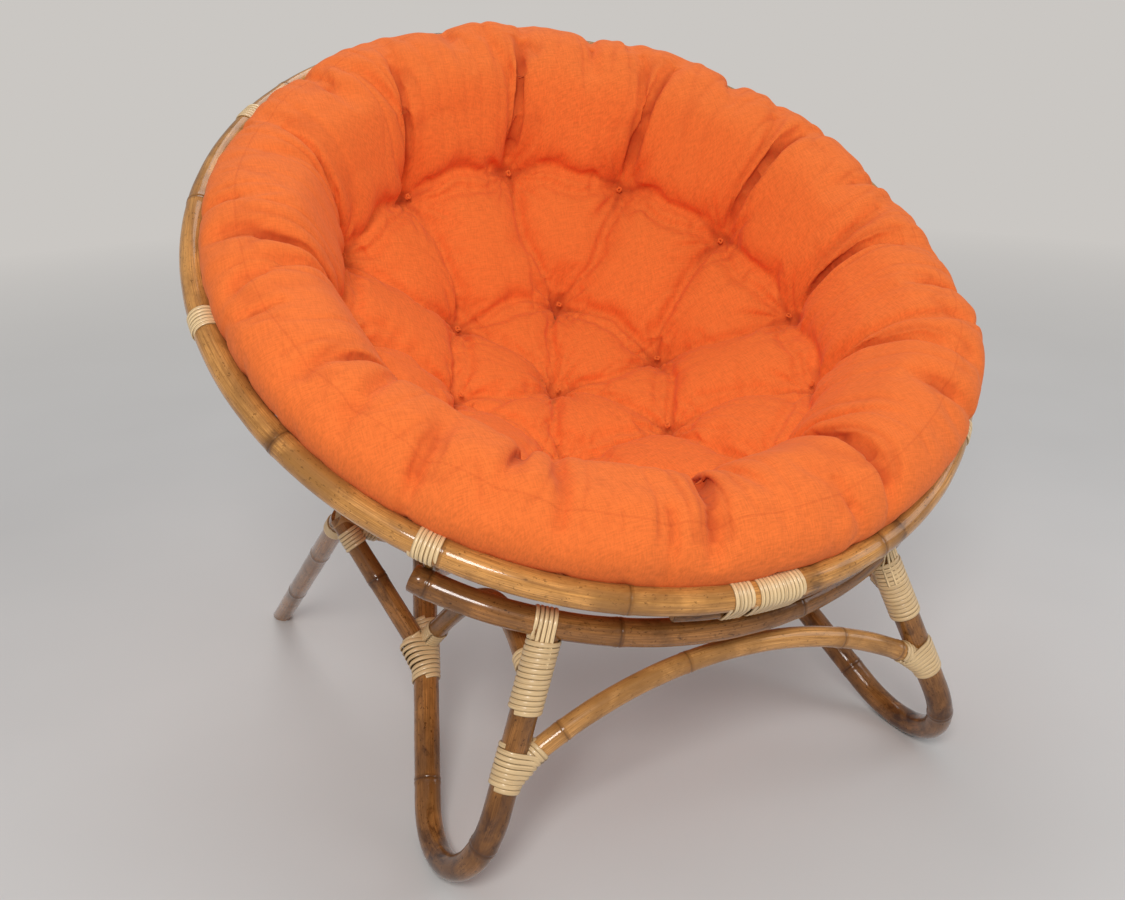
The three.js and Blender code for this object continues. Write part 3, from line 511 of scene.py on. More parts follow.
class Nodes:
    """A short way to write the nodes of a material or world."""

    def __init__(self, owner):
        owner.use_nodes = True
        self.owner, self.tree = owner, owner.node_tree
        self.tree.nodes.clear()

    def new(self, kind, values=None, **settings):
        node = self.tree.nodes.new("ShaderNode" + kind)
        for key, value in settings.items():
            setattr(node, key, value)
        for key, value in (values or {}).items():
            self.put(node.inputs[key], value)
        return node

    def put(self, socket, value):
        if isinstance(value, bpy.types.NodeSocket):
            self.tree.links.new(value, socket)
        else:
            socket.default_value = value

    def math(self, kind, first, second=0.0, *more, clamp=False):
        return self.new("Math", dict(enumerate((first, second, *more))), operation=kind, use_clamp=clamp).outputs[0]

    def times(self, first, second, clamp=False):
        return self.math("MULTIPLY", first, second, clamp=clamp)

    def total(self, first, first_share, second, second_share=None):
        """Two values added, each times its share."""
        if second_share is not None:
            second = self.times(second, second_share)
        return self.math("ADD", self.times(first, first_share), second)

    def place(self, x, y, z):
        return self.new("CombineXYZ", {"X": x, "Y": y, "Z": z}).outputs[0]

    def stretched(self, vector, *scale):
        return self.new("Mapping", {"Vector": vector, "Scale": scale}).outputs[0]

    def mix(self, share, first, second):
        return self.new("Mix", {0: share, 6: first, 7: second}, data_type="RGBA").outputs[2]

    def stain(self, base, shade, *rows):
        """Darkens the base where a value passes from low to high. Rows end in an amount and a tint."""
        for value, low, high, amount, *tone in rows:
            base = self.mix(self.span(value, low, high, 0, amount), base, tint(shade, *tone))
        return base

    def noise(self, vector, scale, detail=3.0, roughness=0.55, distortion=0.0):
        return self.new("TexNoise", {"Vector": vector, "Scale": scale, "Detail": detail, "Roughness": roughness,
                                     "Distortion": distortion}).outputs["Fac"]

    def ramp(self, value, shade, *stops):
        """Tints of a shade by a value. Stops are places, each with its tint."""
        node = self.new("ValToRGB", {"Fac": value})
        row = node.color_ramp.elements
        while len(row) < len(stops):
            row.new(0.5)
        for element, (place, *tone) in zip(row, stops):
            element.position = place
            element.color = tint(shade, *tone)
        return node.outputs["Color"]

    def span(self, value, low, high, to_low=0.0, to_high=1.0):
        return self.new("MapRange", {"Value": value, "From Min": low, "From Max": high,
                                     "To Min": to_low, "To Max": to_high}).outputs[0]

    def bump(self, strength, distance, height):
        return self.new("Bump", {"Strength": strength, "Distance": distance, "Height": height}).outputs[0]

    def map(self):
        """Length along the piece and share round it."""
        uv = self.new("UVMap", uv_map="lengths").outputs[0]
        split = self.new("SeparateXYZ", {"Vector": uv}).outputs
        return split["X"], split["Y"]

    def marks(self):
        marks = self.new("Attribute", attribute_name="marks").outputs
        split = self.new("SeparateColor", {"Color": marks["Color"]}).outputs
        return split["Red"], split["Green"], split["Blue"], marks["Alpha"]

    def shade(self, surface=None, **sockets):
        """Finishes a material. surface makes what shows out of the shader."""
        shader = self.new("BsdfPrincipled", {key.replace("_", " "): value for key, value in sockets.items()})
        shown = shader.outputs[0]
        self.new("OutputMaterial", {"Surface": surface(shown) if surface else shown})
        return self.owner


def tint(shade, factor, warm=1.0):
    return (min(1, shade[0] * factor * warm), min(1, shade[1] * factor), min(1, shade[2] * factor / warm), 1)


def rattan(n, shade, dark, speckle, gloss, blotch):
    """Varnished pole: long fibres, brown blotches and specks, darker growth nodes, and places darkened nearly to
    black: burnt wood, and painted shade where a pole lies in shadow.
    """
    length_along, round_it = n.map()
    at_node, beside_node, scorched, own = n.marks()
    turn = n.times(round_it, 2 * math.pi)

    def lanes(along, apart, around):
        return n.place(n.total(length_along, along, own, apart), n.times(n.math("COSINE", turn), around),
                       n.times(n.math("SINE", turn), around))

    lane, around = lanes(9.0, 37.0, 7.0), lanes(30.0, 91.0, 0.9)
    fibres, hair = n.noise(lane, 1.6, 5.0, 0.6), n.noise(lane, 5.5, 3.0, 0.6)
    cloud, patch = n.noise(around, 0.34, 4.0, 0.6, 0.6), n.noise(around, 1.05, 4.0, 0.65, 0.8)
    base = n.ramp(fibres, shade, (0.32, 0.60, 1.05), (0.5, 1.0), (0.68, 1.50, 0.97))
    base = n.stain(base, shade, (cloud, 0.44, 0.62, 0.85, 0.52, 1.05), (patch, 0.54, 0.72, blotch, 0.30, 1.10),
                   (hair, 0.55, 0.78, 0.45, 0.50, 1.05),
                   (n.noise(around, 6.0, 2.0, 0.6), 0.62, 0.70, speckle, 0.14, 1.15))
    zone = n.times(beside_node, n.span(patch, 0.25, 0.6, 0.45, 1.0), clamp=True)
    base = n.mix(zone, base, tint(shade, dark, 1.12))
    base = n.mix(n.times(at_node, 0.62), base, tint(shade, 0.20, 1.1))
    # Burnt places darken nearly to black; where a pole lies in shadow, as at the batten's end, the same darkening is
    # painted shade.
    darkening = n.times(scorched, n.span(patch, 0.34, 0.60, 0.1, 1.0), clamp=True)
    base = n.mix(darkening, base, (0.050, 0.018, 0.009, 1))
    return n.shade(Base_Color=base, Roughness=n.span(cloud, 0.3, 0.7, 0.24, 0.40), Coat_Weight=gloss,
                   Normal=n.bump(0.35, 0.0006, n.total(fibres, 0.7, hair, 0.3)),
                   Coat_Roughness=0.09, Coat_IOR=1.42, Specular_IOR_Level=0.10)


def cut_wood(n, shade):
    """Sawn end: pale pith with dark pores and a brown rind."""
    uv = n.new("UVMap", uv_map="lengths").outputs[0]
    away = n.new("VectorMath", {0: uv, 1: (0.5, 0.5, 0)}, operation="DISTANCE").outputs["Value"]
    pores = n.new("TexVoronoi", {"Vector": uv, "Scale": 26.0}).outputs["Distance"]
    base = n.stain(n.ramp(n.noise(uv, 4.0), shade, (0.3, 0.75), (0.7, 1.15)), shade,
                   (pores, 0.25, 0.05, 0.8, 0.25), (away, 0.42, 0.47, 1.0, 0.35))
    return n.shade(Base_Color=base, Roughness=0.7, Normal=n.bump(0.4, 0.0006, pores))


def peeled_cane(n, shade):
    """Strip of cane: fine lines along it, painted shade on its edges where the loops meet, a thin gloss."""
    length_along, round_it = n.map()
    aged, _, _, own = n.marks()
    own = n.times(own, 71.0)
    wide = n.place(n.total(length_along, 16.0, own), n.times(round_it, 9.0), own)
    long = n.place(n.total(length_along, 12.0, own), n.times(round_it, 60.0), own)
    cloud, lines = n.noise(wide, 1.0), n.noise(long, 1.0, 3.0, 0.6)
    base = n.ramp(cloud, shade, (0.32, 0.60, 1.07), (0.5, 0.97), (0.68, 1.22, 0.98))
    base = n.stain(base, shade, (lines, 0.52, 0.78, 0.55, 0.55, 1.1))
    base = n.mix(n.times(aged, 0.6), base, tint(shade, 0.62, 1.10))
    # Painted shade: the strip's sides and underside darken, for the shade between neighbouring loops.
    off_middle = n.math("ABSOLUTE", n.math("SUBTRACT", round_it, 4 / 9))
    base = n.stain(base, shade, (off_middle, 0.20, 0.34, 0.75, 0.34, 1.12),
                   (n.noise(wide, 7.0, 1.0), 0.70, 0.78, 0.5, 0.3, 1.15))
    return n.shade(Base_Color=base, Roughness=n.span(cloud, 0.3, 0.7, 0.34, 0.5), Coat_Weight=0.55,
                   Coat_Roughness=0.14, Normal=n.bump(0.5, 0.0004, lines))


def linen(n, shade):
    """Slubby linen: crossed threads of uneven thickness, with the grain along the hoop's plane, and painted shade in
    its creases, folds and seam groove.
    """
    tilt = bpy.context.scene.papasan_sizes.hoop_tilt
    place = n.new("TexCoord").outputs["Object"]
    flat = n.new("Mapping", {"Vector": place, "Rotation": (-tilt, 0, 0)}).outputs[0]
    crease, at_seam, fold, upper = n.marks()
    warp, weft = (n.noise(n.stretched(flat, *scale), 1.0, 2.0, 0.6)
                  for scale in ((640.0, 70.0, 140.0), (70.0, 640.0, 140.0)))
    thread = n.total(warp, 0.5, weft, 0.5)
    base = n.ramp(thread, shade, (0.36, 0.83, 1.02), (0.5, 0.98), (0.64, 1.11, 0.98))
    base = n.stain(base, shade, (n.noise(flat, 4.0), 0.35, 0.7, 0.30, 0.92, 1.02))
    # Painted shade: creases, the folds' troughs and the seam's groove are darkened toward this colour.
    shaded = (shade[0] * 0.54, shade[1] * 0.30, shade[2] * 0.35, 1)
    off_seam = n.math("ABSOLUTE", n.math("SUBTRACT", at_seam, 0.5))
    seam = n.times(n.span(off_seam, 0.045, 0.018), upper)
    for share in (n.span(crease, 0.48, 1.0, 0, 0.75), n.span(fold, 0.45, 1.0, 0, 0.22), n.times(seam, 0.16)):
        base = n.mix(share, base, shaded)
    rumple = n.noise(n.stretched(flat, 38.0, 38.0, 38.0), 1.0, 3.0, 0.5, 0.4)
    height = n.math("SUBTRACT", n.total(thread, 0.30, rumple, 0.8), n.times(seam, 0.3))
    return n.shade(Base_Color=base, Roughness=0.86, Normal=n.bump(0.35, 0.0022, height), Sheen_Weight=0.08,
                   Sheen_Roughness=0.5, Sheen_Tint=(1.0, 0.62, 0.42, 1), Specular_IOR_Level=0.2)


def plain_floor(n, shade, far):
    """Pale floor that passes into the backdrop's colour away from the chair."""
    place = n.new("TexCoord").outputs["Object"]
    base = n.ramp(n.noise(place, 1.3), shade, (0.3, 0.97), (0.7, 1.03))
    away = n.new("VectorMath", {0: place}, operation="LENGTH").outputs["Value"]
    glow = n.new("Emission", {"Color": (*far, 1), "Strength": 1.0}).outputs[0]

    def into_backdrop(floor):
        return n.new("MixShader", {0: n.span(away, 1.4, 4.0), 1: floor, 2: glow}).outputs[0]

    return n.shade(into_backdrop, Base_Color=base, Roughness=0.45, Specular_IOR_Level=0.35)


FINISHES = {
    "honey pole": lambda n, c: rattan(n, c.honey, 0.42, 0.6, 0.9, 0.30),
    "dark pole": lambda n, c: rattan(n, c.dark, 0.42, 0.75, 1.0, 0.85),
    "pale pole": lambda n, c: rattan(n, c.pale, 0.45, 0.5, 0.8, 0.30),
    "sawn end": lambda n, c: cut_wood(n, (0.50, 0.31, 0.15)),
    "peeled cane": lambda n, c: peeled_cane(n, c.cane),
    "orange linen": lambda n, c: linen(n, c.linen),
    "plain floor": lambda n, c: plain_floor(n, c.floor, c.backdrop),
}


def finish(name):
    """The material of that name, made when it is first asked for."""
    found = bpy.data.materials.get(name)
    return found or FINISHES[name](Nodes(bpy.data.materials.new(name)), bpy.context.scene.papasan_colours)


# The operators

class Make:
    """What every operator of the chair shares."""
    bl_options = {"REGISTER", "UNDO"}

    def execute(self, context):
        scene = context.scene
        self.sizes, self.cane, self.pad = scene.papasan_sizes, scene.papasan_cane, scene.papasan_pad
        self.plan = Layout(self.sizes)
        self.make(scene)
        return {"FINISHED"}

    def done(self, builder, name, body, finishes, node):
        piece = builder.make(name, [finish(kind) for kind in finishes], self.sizes)
        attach(piece, body)
        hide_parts(node)

    def pole(self, name, path, diameter, wood, body="stand", **options):
        """One pole that stands for the node of the same name."""
        builder = Builder()
        add_pole(builder, path, diameter, **options)
        self.done(builder, f"{name}_pole", body, [wood, "sawn end"], name)

    def pair(self, name, path, diameter, wood, seed, **options):
        for number, (side, flip) in enumerate(SIDES):
            self.pole(f"{name}_{side}", path * flip, diameter, wood, seed=seed + 17 * number, **options)

    def wind(self, name, body, *windings):
        """Windings, each the arguments and options of one, that stand for the node of that name."""
        builder = Builder()
        for path, start, loops, circles, options in windings:
            add_winding(builder, path, start, loops, circles, self.cane, **options)
        self.bind(builder, name, body)

    def bind(self, builder, name, body):
        self.done(builder, f"{name}_cane", body, ["peeled cane"], name)


class PAPASAN_OT_hoop(Make, bpy.types.Operator):
    """Makes the big hoop and the batten under its joint"""
    bl_idname = "papasan.hoop"
    bl_label = "Hoop and batten"

    def make(self, scene):
        lay, sizes = self.plan, self.sizes
        nodes = (24, 58, 96, 127, 157.8, 203.2, 228, 251.1, 288.4, 326, 355)
        burns = ((292.5, 0.012, 0.9), (203, 0.010, 0.5), (276, 0.010, 0.7))
        self.pole("hoop", lay.hoop_path()[:-1], sizes.hoop_pole, "honey pole", "bowl",
                  nodes=[lay.on_hoop(degrees) for degrees in nodes],
                  scorch=[(lay.on_hoop(degrees), *darkening) for degrees, *darkening in burns], closed=True, sides=48, seed=3)
        batten = lay.arc(sizes.hoop_radius - lay.batten_in, -lay.batten_down, 257.7, 283)
        # Painted shade: the batten's first few centimetres are darkened nearly to black for the shadow it lies in
        # under the hoop.
        self.pole("hoop_joint_batten", batten, sizes.batten_pole, "dark pole", "bowl",
                  nodes=[0.11], scorch=[(0.0, 0.07, 0.9)], seed=4)


class PAPASAN_OT_bowl(Make, bpy.types.Operator):
    """Makes the ribs and the two rings of the bowl"""
    bl_idname = "papasan.bowl"
    bl_label = "Ribs and rings"

    def make(self, scene):
        sizes = self.sizes
        for number, degrees in RIBS:
            offset = 0.03 * (number % 3)
            self.pole(f"rib_{number}", self.plan.rib_path(degrees), sizes.rib_pole, "honey pole", "bowl",
                      nodes=[0.10 + offset, 0.29 + offset, 0.47], sides=24, seed=20 + number, ends=(False, True))
        sevenths = [2 * math.pi * sizes.middle_ring * k / 7 + 0.05 for k in range(7)]
        for name, radius, nodes in (("bottom_ring", sizes.bottom_ring, [0.2, 0.5]),
                                    ("middle_ring", sizes.middle_ring, sevenths)):
            self.pole(name, self.plan.ring_path(radius), sizes.rib_pole, "honey pole", "bowl",
                      closed=True, nodes=nodes, sides=24, seed=int(radius * 100))


class PAPASAN_OT_rails(Make, bpy.types.Operator):
    """Makes the seat rail and the saddle rail"""
    bl_idname = "papasan.rails"
    bl_label = "Rails"

    def make(self, scene):
        lay, sizes = self.plan, self.sizes
        start = 224.9
        nodes = [math.radians(degrees - start) * lay.rail_radius for degrees in (227.2, 252.3, 278.6, 302)]
        self.pole("seat_rail", lay.arc(lay.rail_radius, -sizes.rail_drop, start, 317.4), sizes.hoop_pole,
                  "dark pole", nodes=nodes, scorch=[(nodes[0], 0.02, 0.5), (nodes[2] + 0.03, 0.04, 0.35)],
                  sides=40, seed=5)
        path = np.array([lay.saddle_point(out) for out in np.linspace(0.380, -0.380, 160)])
        self.pole("saddle_rail", path, sizes.hoop_pole, "pale pole", nodes=[0.16, 0.42, 0.66], sides=40, seed=6)


class PAPASAN_OT_leg_loops(Make, bpy.types.Operator):
    """Makes the two bent leg loops"""
    bl_idname = "papasan.leg_loops"
    bl_label = "Leg loops"

    def make(self, scene):
        path = self.plan.loop_path()
        down = np.linalg.norm(self.plan.loop_head - self.plan.front_touch)
        self.pair("leg_loop", path, self.sizes.hoop_pole, "dark pole", 7, sides=40, ends=(False, True),
                  nodes=[0.09, down + 0.05, down + 0.30, lengths_of(path)[-1] - 0.08],
                  scorch=[(down + 0.02, 0.05, 0.8), (down + 0.16, 0.07, 0.9), (down + 0.33, 0.03, 0.6),
                          (0.13, 0.03, 0.3)])


class PAPASAN_OT_rear_legs(Make, bpy.types.Operator):
    """Makes the rear legs and the braces that run forward from their heads"""
    bl_idname = "papasan.rear_legs"
    bl_label = "Rear legs and braces"

    def make(self, scene):
        self.pair("rear_leg", self.plan.rear_leg_path(), self.sizes.rear_pole, "dark pole", 8,
                  nodes=[0.17, 0.38], scorch=[(0.17, 0.03, 0.4)], ends=(False, False), stands=True)
        self.pair("rear_brace", self.plan.brace_path(), self.sizes.brace_pole, "dark pole", 9,
                  nodes=[0.13], scorch=[(0.13, 0.02, 0.5)], ends=(False, False))


class PAPASAN_OT_arches(Make, bpy.types.Operator):
    """Makes the front arch and the arch inside each leg loop"""
    bl_idname = "papasan.arches"
    bl_label = "Arches"

    def make(self, scene):
        self.pole("front_arch", self.plan.front_arch_path(), self.sizes.arch_pole, "pale pole", sides=36, seed=10,
                  nodes=[0.085, 0.262, 0.495, 0.60], scorch=[(0.57, 0.012, 0.35)], ends=(False, False))
        self.pair("side_arch", self.plan.side_arch_path(), self.sizes.arch_pole, "dark pole", 11,
                  nodes=[0.14], ends=(False, False))


def pole_circle(diameter, place=(0, 0)):
    return place, diameter / 2


class PAPASAN_OT_hoop_lashings(Make, bpy.types.Operator):
    """Makes the cane windings on the hoop"""
    bl_idname = "papasan.hoop_lashings"
    bl_label = "Hoop lashings"

    def make(self, scene):
        lay, sizes, cane = self.plan, self.sizes, self.cane
        path, pitch, hoop = lay.hoop_path(), cane.width * 1.03, pole_circle(sizes.hoop_pole)
        for number, degrees in RIBS:
            if number == 7:  # its head is under the splice
                continue
            begin = lay.on_hoop(degrees) - pitch * cane.hoop_loops / 2
            self.wind(f"hoop_lashing_{number}", "bowl",
                      (path, begin, cane.hoop_loops, [hoop],
                       dict(frame_at=lay.hoop_frame, seed=30 + number, slant=0.0006)),
                      (lay.rib_path(degrees), sizes.hoop_pole / 2 + 0.004, 3, [pole_circle(sizes.rib_pole)],
                       dict(seed=60 + number)))
        both = [hoop, pole_circle(sizes.batten_pole, (-lay.batten_in, lay.batten_down))]
        begin = lay.on_hoop(264.1)
        for number, loops in enumerate((5, 12), 1):
            self.wind(f"splice_lashing_{number}", "bowl",
                      (path, begin, loops, both, dict(frame_at=lay.hoop_frame, seed=40 + number, slant=0.0008)))
            begin += pitch * loops + 0.007


class PAPASAN_OT_ring_ties(Make, bpy.types.Operator):
    """Makes the ties where the ribs cross the wide ring"""
    bl_idname = "papasan.ring_ties"
    bl_label = "Ring ties"

    def make(self, scene):
        lay, sizes = self.plan, self.sizes
        middle = lay.ball * (math.asin(sizes.hoop_radius / lay.ball) - math.asin(sizes.middle_ring / lay.ring_ball))
        for number, degrees in RIBS:
            self.wind(f"ring_tie_{number}", "bowl",
                      *((lay.rib_path(degrees), middle + offset, 2, [pole_circle(sizes.rib_pole)], dict(seed=seed))
                        for offset, seed in ((-0.0145, 70 + number), (0.0045, 80 + number))))


class PAPASAN_OT_leg_lashings(Make, bpy.types.Operator):
    """Makes the cane windings on the leg loops"""
    bl_idname = "papasan.leg_lashings"
    bl_label = "Leg lashings"

    def make(self, scene):
        lay, sizes, cane = self.plan, self.sizes, self.cane
        pitch, reach = cane.leg_width * 1.03, sizes.hoop_pole / 2
        leg, arch, brace = (pole_circle(pole) for pole in (sizes.hoop_pole, sizes.arch_pole, sizes.brace_pole))
        front, rear = line(lay.loop_head, lay.front_touch), line(lay.rear_touch, lay.loop_top)
        foot = np.linalg.norm(lay.on_front(ARCH_FOOT) - lay.loop_head)
        knee = np.linalg.norm(lay.on_rear(KNEE) - lay.rear_touch)
        arch_path, side_arch, brace_path = lay.front_arch_path(), lay.side_arch_path(), lay.brace_path()
        foot_start = foot - pitch * cane.foot_loops * 0.50 - 0.0125
        knee_start = knee - pitch * cane.knee_loops * 0.60 - 0.005
        # name, path, start, loops, lift, lean, what is tied to the leg, collars (path, start, loops, pole)
        rows = [("leg_lashing", front, 0.017, cane.leg_loops, 0.0014, vec(-0.06, 0, 0), None,
                 [(side_arch[::-1], reach + 0.004, 3, arch)]),
                ("arch_lashing", front, foot_start, cane.foot_loops, 0.0003, vec(0.08, 0, 0),
                 (arch_path, arch, [foot_start, foot + 0.012], [0.026, 0.0]),
                 [(arch_path, reach + 0.013, cane.collar_loops, arch)]),
                ("knee_lashing", rear, knee_start, cane.knee_loops, 0.0003, vec(0.20, 0, 0),
                 (brace_path, brace, [knee - 0.047, knee - 0.004, knee + 0.006], [0.0, 0.028, 0.0]),
                 [(side_arch, reach - 0.003, 6, arch), (brace_path, reach + 0.002, 3, brace)])]
        for name, path, start, loops, lift, lean, beside, collars in rows:
            for side, flip in SIDES:
                way, seed, circles = path * flip, len(name) + (5 if side == "right" else 0), [leg]
                if beside:
                    other, pole, places, offsets = beside
                    circles = self.fan(way, other * flip, leg, pole[1], start, pitch, places, offsets)
                self.wind(f"{name}_{side}", "stand",
                          (way, start, loops, circles, dict(frame_at=steady(way), seed=seed, lift=lift, slant=0.001,
                                                            width=cane.leg_width, lean=lean * flip, aged=0.8)),
                          *((collar * flip, place, many, [pole], dict(seed=seed + number, slant=0.0015, aged=0.8,
                                                                      width=cane.leg_width * 0.9))
                            for number, (collar, place, many, pole) in enumerate(collars, 31)))

    @staticmethod
    def fan(way, other, leg, radius, start, pitch, places, offsets):
        """The circles of a winding that takes in a second pole: how far out that pole is, loop by loop."""
        across, aside = (rows[0] for rows in steady(way)(np.zeros(1)))
        out = unit(other[-1 if len(other) == 2 else len(other) // 8] - other[0])
        toward = unit(np.array((out @ across, out @ aside)))

        def circles(loop):
            offset = np.interp(start + pitch * loop, places, offsets)
            return [leg, (tuple(toward * offset), radius)] if offset > 0.0035 else [leg]
        return circles


class PAPASAN_OT_straps(Make, bpy.types.Operator):
    """Makes the straps over the seat rail and the ties round the rear joints"""
    bl_idname = "papasan.straps"
    bl_label = "Straps and ties"

    def strap(self, builder, centre, down, side, offset, seed):
        """A strip over the seat rail and down both sides of the leg that hangs under it."""
        radius, reach, sunk = self.sizes.hoop_pole / 2, 0.050, self.cane.thickness / 2
        across = unit(np.cross(side, down))
        tight = math.sqrt(max(radius ** 2 - offset ** 2, 1e-8)) - radius
        points, lifts = [], []
        for c, s, share in ([(1, 0, share) for share in np.linspace(1, 0.04, 14)]
                            + [(math.cos(a), math.sin(a), 0) for a in np.linspace(0, math.pi, 30)]
                            + [(-1, 0, share) for share in np.linspace(0.04, 1, 14)]):
            lifts.append(across * c - down * s)
            pull = tight * min(1, share * reach / 0.02)
            points.append(centre + lifts[-1] * (radius + sunk + pull) + down * reach * share)
        add_strip(builder, np.array(points) + side * offset, np.array(lifts), self.cane.width,
                  self.cane.thickness, seed)

    def make(self, scene):
        lay, sizes = self.plan, self.sizes
        bend = sizes.saddle_bend
        degrees = math.radians(lay.rail_degrees(HEAD_OUT))
        for side, flip in SIDES:
            along = (-math.sin(degrees) * ACROSS + math.cos(degrees) * lay.uphill) * flip
            down = -lay.front_line * flip
            builder = Builder()
            for number in range(5):
                self.strap(builder, lay.loop_head * flip, unit(down - along * (down @ along)), unit(along),
                           0.0056 * (number - 2) - 0.005 * flip[0], 90 + number)
            self.bind(builder, f"rail_strap_{side}", "stand")
            saddle = np.array([lay.saddle_point(out) for out in np.linspace(0.38, 0.2, 60)]) * flip
            middle = bend * (math.asin(0.38 / bend) - math.asin(0.334 / bend))
            self.wind(f"saddle_tie_{side}", "stand", (saddle, middle - 0.012, 5, [pole_circle(sizes.hoop_pole)],
                                                      dict(seed=101, aged=1.0)))
            self.wind(f"apex_strap_{side}", "stand",
                      *((path[::-1] * flip, 0.021, 5, [pole_circle(pole)], dict(seed=seed, aged=1.0))
                        for path, pole, seed in ((lay.rear_leg_path(), sizes.rear_pole, 103),
                                                 (lay.brace_path(), sizes.brace_pole, 105))))


# Pad

TUFT_RINGS = ((6, 0.171, 8), (12, 0.332, 86))  # how many tufts, their radius, and the first one's degrees
DISH_END = 65  # degrees round the middle of the dish at which the crest begins
RIM_LOW = 0.012  # how far the rim lies below the hoop's middle
DISH_CREASES, SIDE_CREASES = 0.37, 0.333  # creases between tufts lie within this radius, radial ones beyond that
LOOSE_RIGHT, LOOSE_LEFT, TIGHT_BACK = 325, 192, 101  # degrees at which the side bulges, bulges and is drawn in
INSET, MOST_SWELL = 0.006, 0.034  # the skin is drawn in first; the simulation may move a point this far
CLOTH_FRAMES = 20


class PadShape:
    """The pad's skin, as places round the hoop's axis."""

    def __init__(self, layout, pad):
        self.lay, self.pad = layout, pad
        self.ball = layout.ring_ball - layout.sizes.rib_pole / 2 - GAP
        self.dish_middle = layout.rise - self.ball + pad.thickness + pad.dish_radius
        self.tufts = [(0.0, 0.0)]
        for count, radius, turn in TUFT_RINGS:
            for k in range(count):
                spin = math.radians(turn + 360 * k / count)
                self.tufts.append((radius * math.cos(spin), radius * math.sin(spin)))
        self.tufts = np.array(self.tufts)
        self.section = self.make_section()

    def make_section(self):
        """Radius and height from the middle of the dish over the crest and round to below."""
        pad, end_polar = self.pad, math.radians(DISH_END)
        dish = [(pad.dish_radius * math.sin(p), self.dish_middle - pad.dish_radius * math.cos(p))
                for p in np.linspace(0, end_polar, 80)]
        last, crest = np.array(dish[-1]), np.array((pad.crest_radius, pad.crest_height))
        handle = 0.42 * (pad.crest_height - last[1])
        rise = self.bezier(last, last + handle * np.array((math.cos(end_polar), math.sin(end_polar))),
                           crest - np.array((handle, 0)), crest, 16)
        rim_polar = math.acos((self.lay.rise + RIM_LOW) / self.ball)
        swell = pad.bulge_radius - pad.crest_radius
        side = self.bezier(crest, np.array((pad.bulge_radius + swell / 5, pad.crest_height)),
                           np.array((pad.bulge_radius - swell / 12, pad.bulge_height / 2)),
                           np.array((self.ball * math.sin(rim_polar), -RIM_LOW)), 26)
        under = [(self.ball * math.sin(p), self.lay.rise - self.ball * math.cos(p))
                 for p in np.linspace(rim_polar, 0, 70)]
        self.crest_at = len(dish) + len(rise) - 1
        self.rim_at = self.crest_at + len(side) - 1
        return np.vstack([dish, rise[1:], side[1:], under[1:]])

    @staticmethod
    def bezier(a, b, c, d, count):
        t = np.linspace(0, 1, count)[:, None]
        return (1 - t) ** 3 * a + 3 * (1 - t) ** 2 * t * b + 3 * (1 - t) * t ** 2 * c + t ** 3 * d

    def creases(self):
        """Pairs of tufts with a crease between them."""
        pairs = [(0, k) for k in range(1, 7)]
        pairs += [(k, k % 6 + 1) for k in range(1, 7)]
        pairs += [(6 + k, 6 + k % 12 + 1) for k in range(1, 13)]
        for k in range(1, 7):
            near = np.argsort(np.linalg.norm(self.tufts[7:] - self.tufts[k], axis=1))[:2]
            pairs += [(k, 7 + int(n)) for n in near]
        return pairs

    @staticmethod
    def front_share(x, y):
        """0 in the back of the dish, 1 in its front, where the filling has slid down."""
        share = np.clip(0.58 - (0.376 * x + 0.927 * y) / 0.230, 0, 1)
        return share * share * (3 - 2 * share)

    def pull(self, x, y):
        """How deep the dish is pulled in at places on it."""
        pad = self.pad
        shallow = 1 - 0.45 * self.front_share(x, y)
        deep = np.zeros(x.shape)
        for away, share, weight in self.crease_aways(x, y):
            depth = weight * pad.crease_depth * (1 - 0.5 * np.sin(math.pi * share))
            deep = np.maximum(deep, depth / (1 + (away / 0.008) ** 2))
        for number, away, spin in self.round_tufts(x, y):
            puckers = 0.5 + 0.5 * np.cos(9 * spin + number * 1.7)
            deep = np.maximum(deep, shallow * pad.tuft_depth * np.exp(-(away / 0.030) ** 1.3)
                              + 0.004 * puckers * np.exp(-((away - 0.028) / 0.022) ** 2))
        return deep

    def round_tufts(self, x, y):
        """Distance to each tuft and the direction from it."""
        for number, tuft in enumerate(self.tufts):
            yield number, np.hypot(x - tuft[0], y - tuft[1]), np.arctan2(y - tuft[1], x - tuft[0])

    def side_rows(self):
        """Radial creases: degrees at the start and at the rim, where each begins and ends, and its strength.

        The way along runs from 0 at the outer tufts over 1 at the crest to 2 at the rim.
        """
        rng = np.random.default_rng(12)
        rows = []
        for k in range(12):
            tuft = 86 + 30 * k
            left, right = rng.uniform(3.4, 6.4), rng.uniform(3.8, 7.6)
            rows.append((tuft, tuft - left, -0.1, rng.uniform(1.3, 1.9), 1.0))
            rows.append((tuft + 0.2, tuft + right, -0.1, rng.uniform(1.0, 1.8), 0.6))
            between = tuft + 15 + rng.uniform(-3, 3)
            rows.append((between, between + rng.uniform(-4, 4), rng.uniform(0.6, 1.0), rng.uniform(1.7, 2.2), 0.75))
        return rows

    def side_aways(self, radius, degrees, along):
        """Distances to the radial creases, each with its strength there."""
        passed = np.clip(along, 0, 2)
        for number, (start, end, first, last, strength) in enumerate(self.side_rows()):
            centre = start + (end - start) * passed / 1.3 + 1.1 * np.sin(2.6 * passed) * math.cos(2.3 * number)
            away = np.radians((degrees - centre + 180) % 360 - 180) * radius
            ends = np.clip((along - first) / 0.25, 0, 1) * np.clip((last - along) / 0.7, 0, 1)
            yield np.abs(away), strength * ends

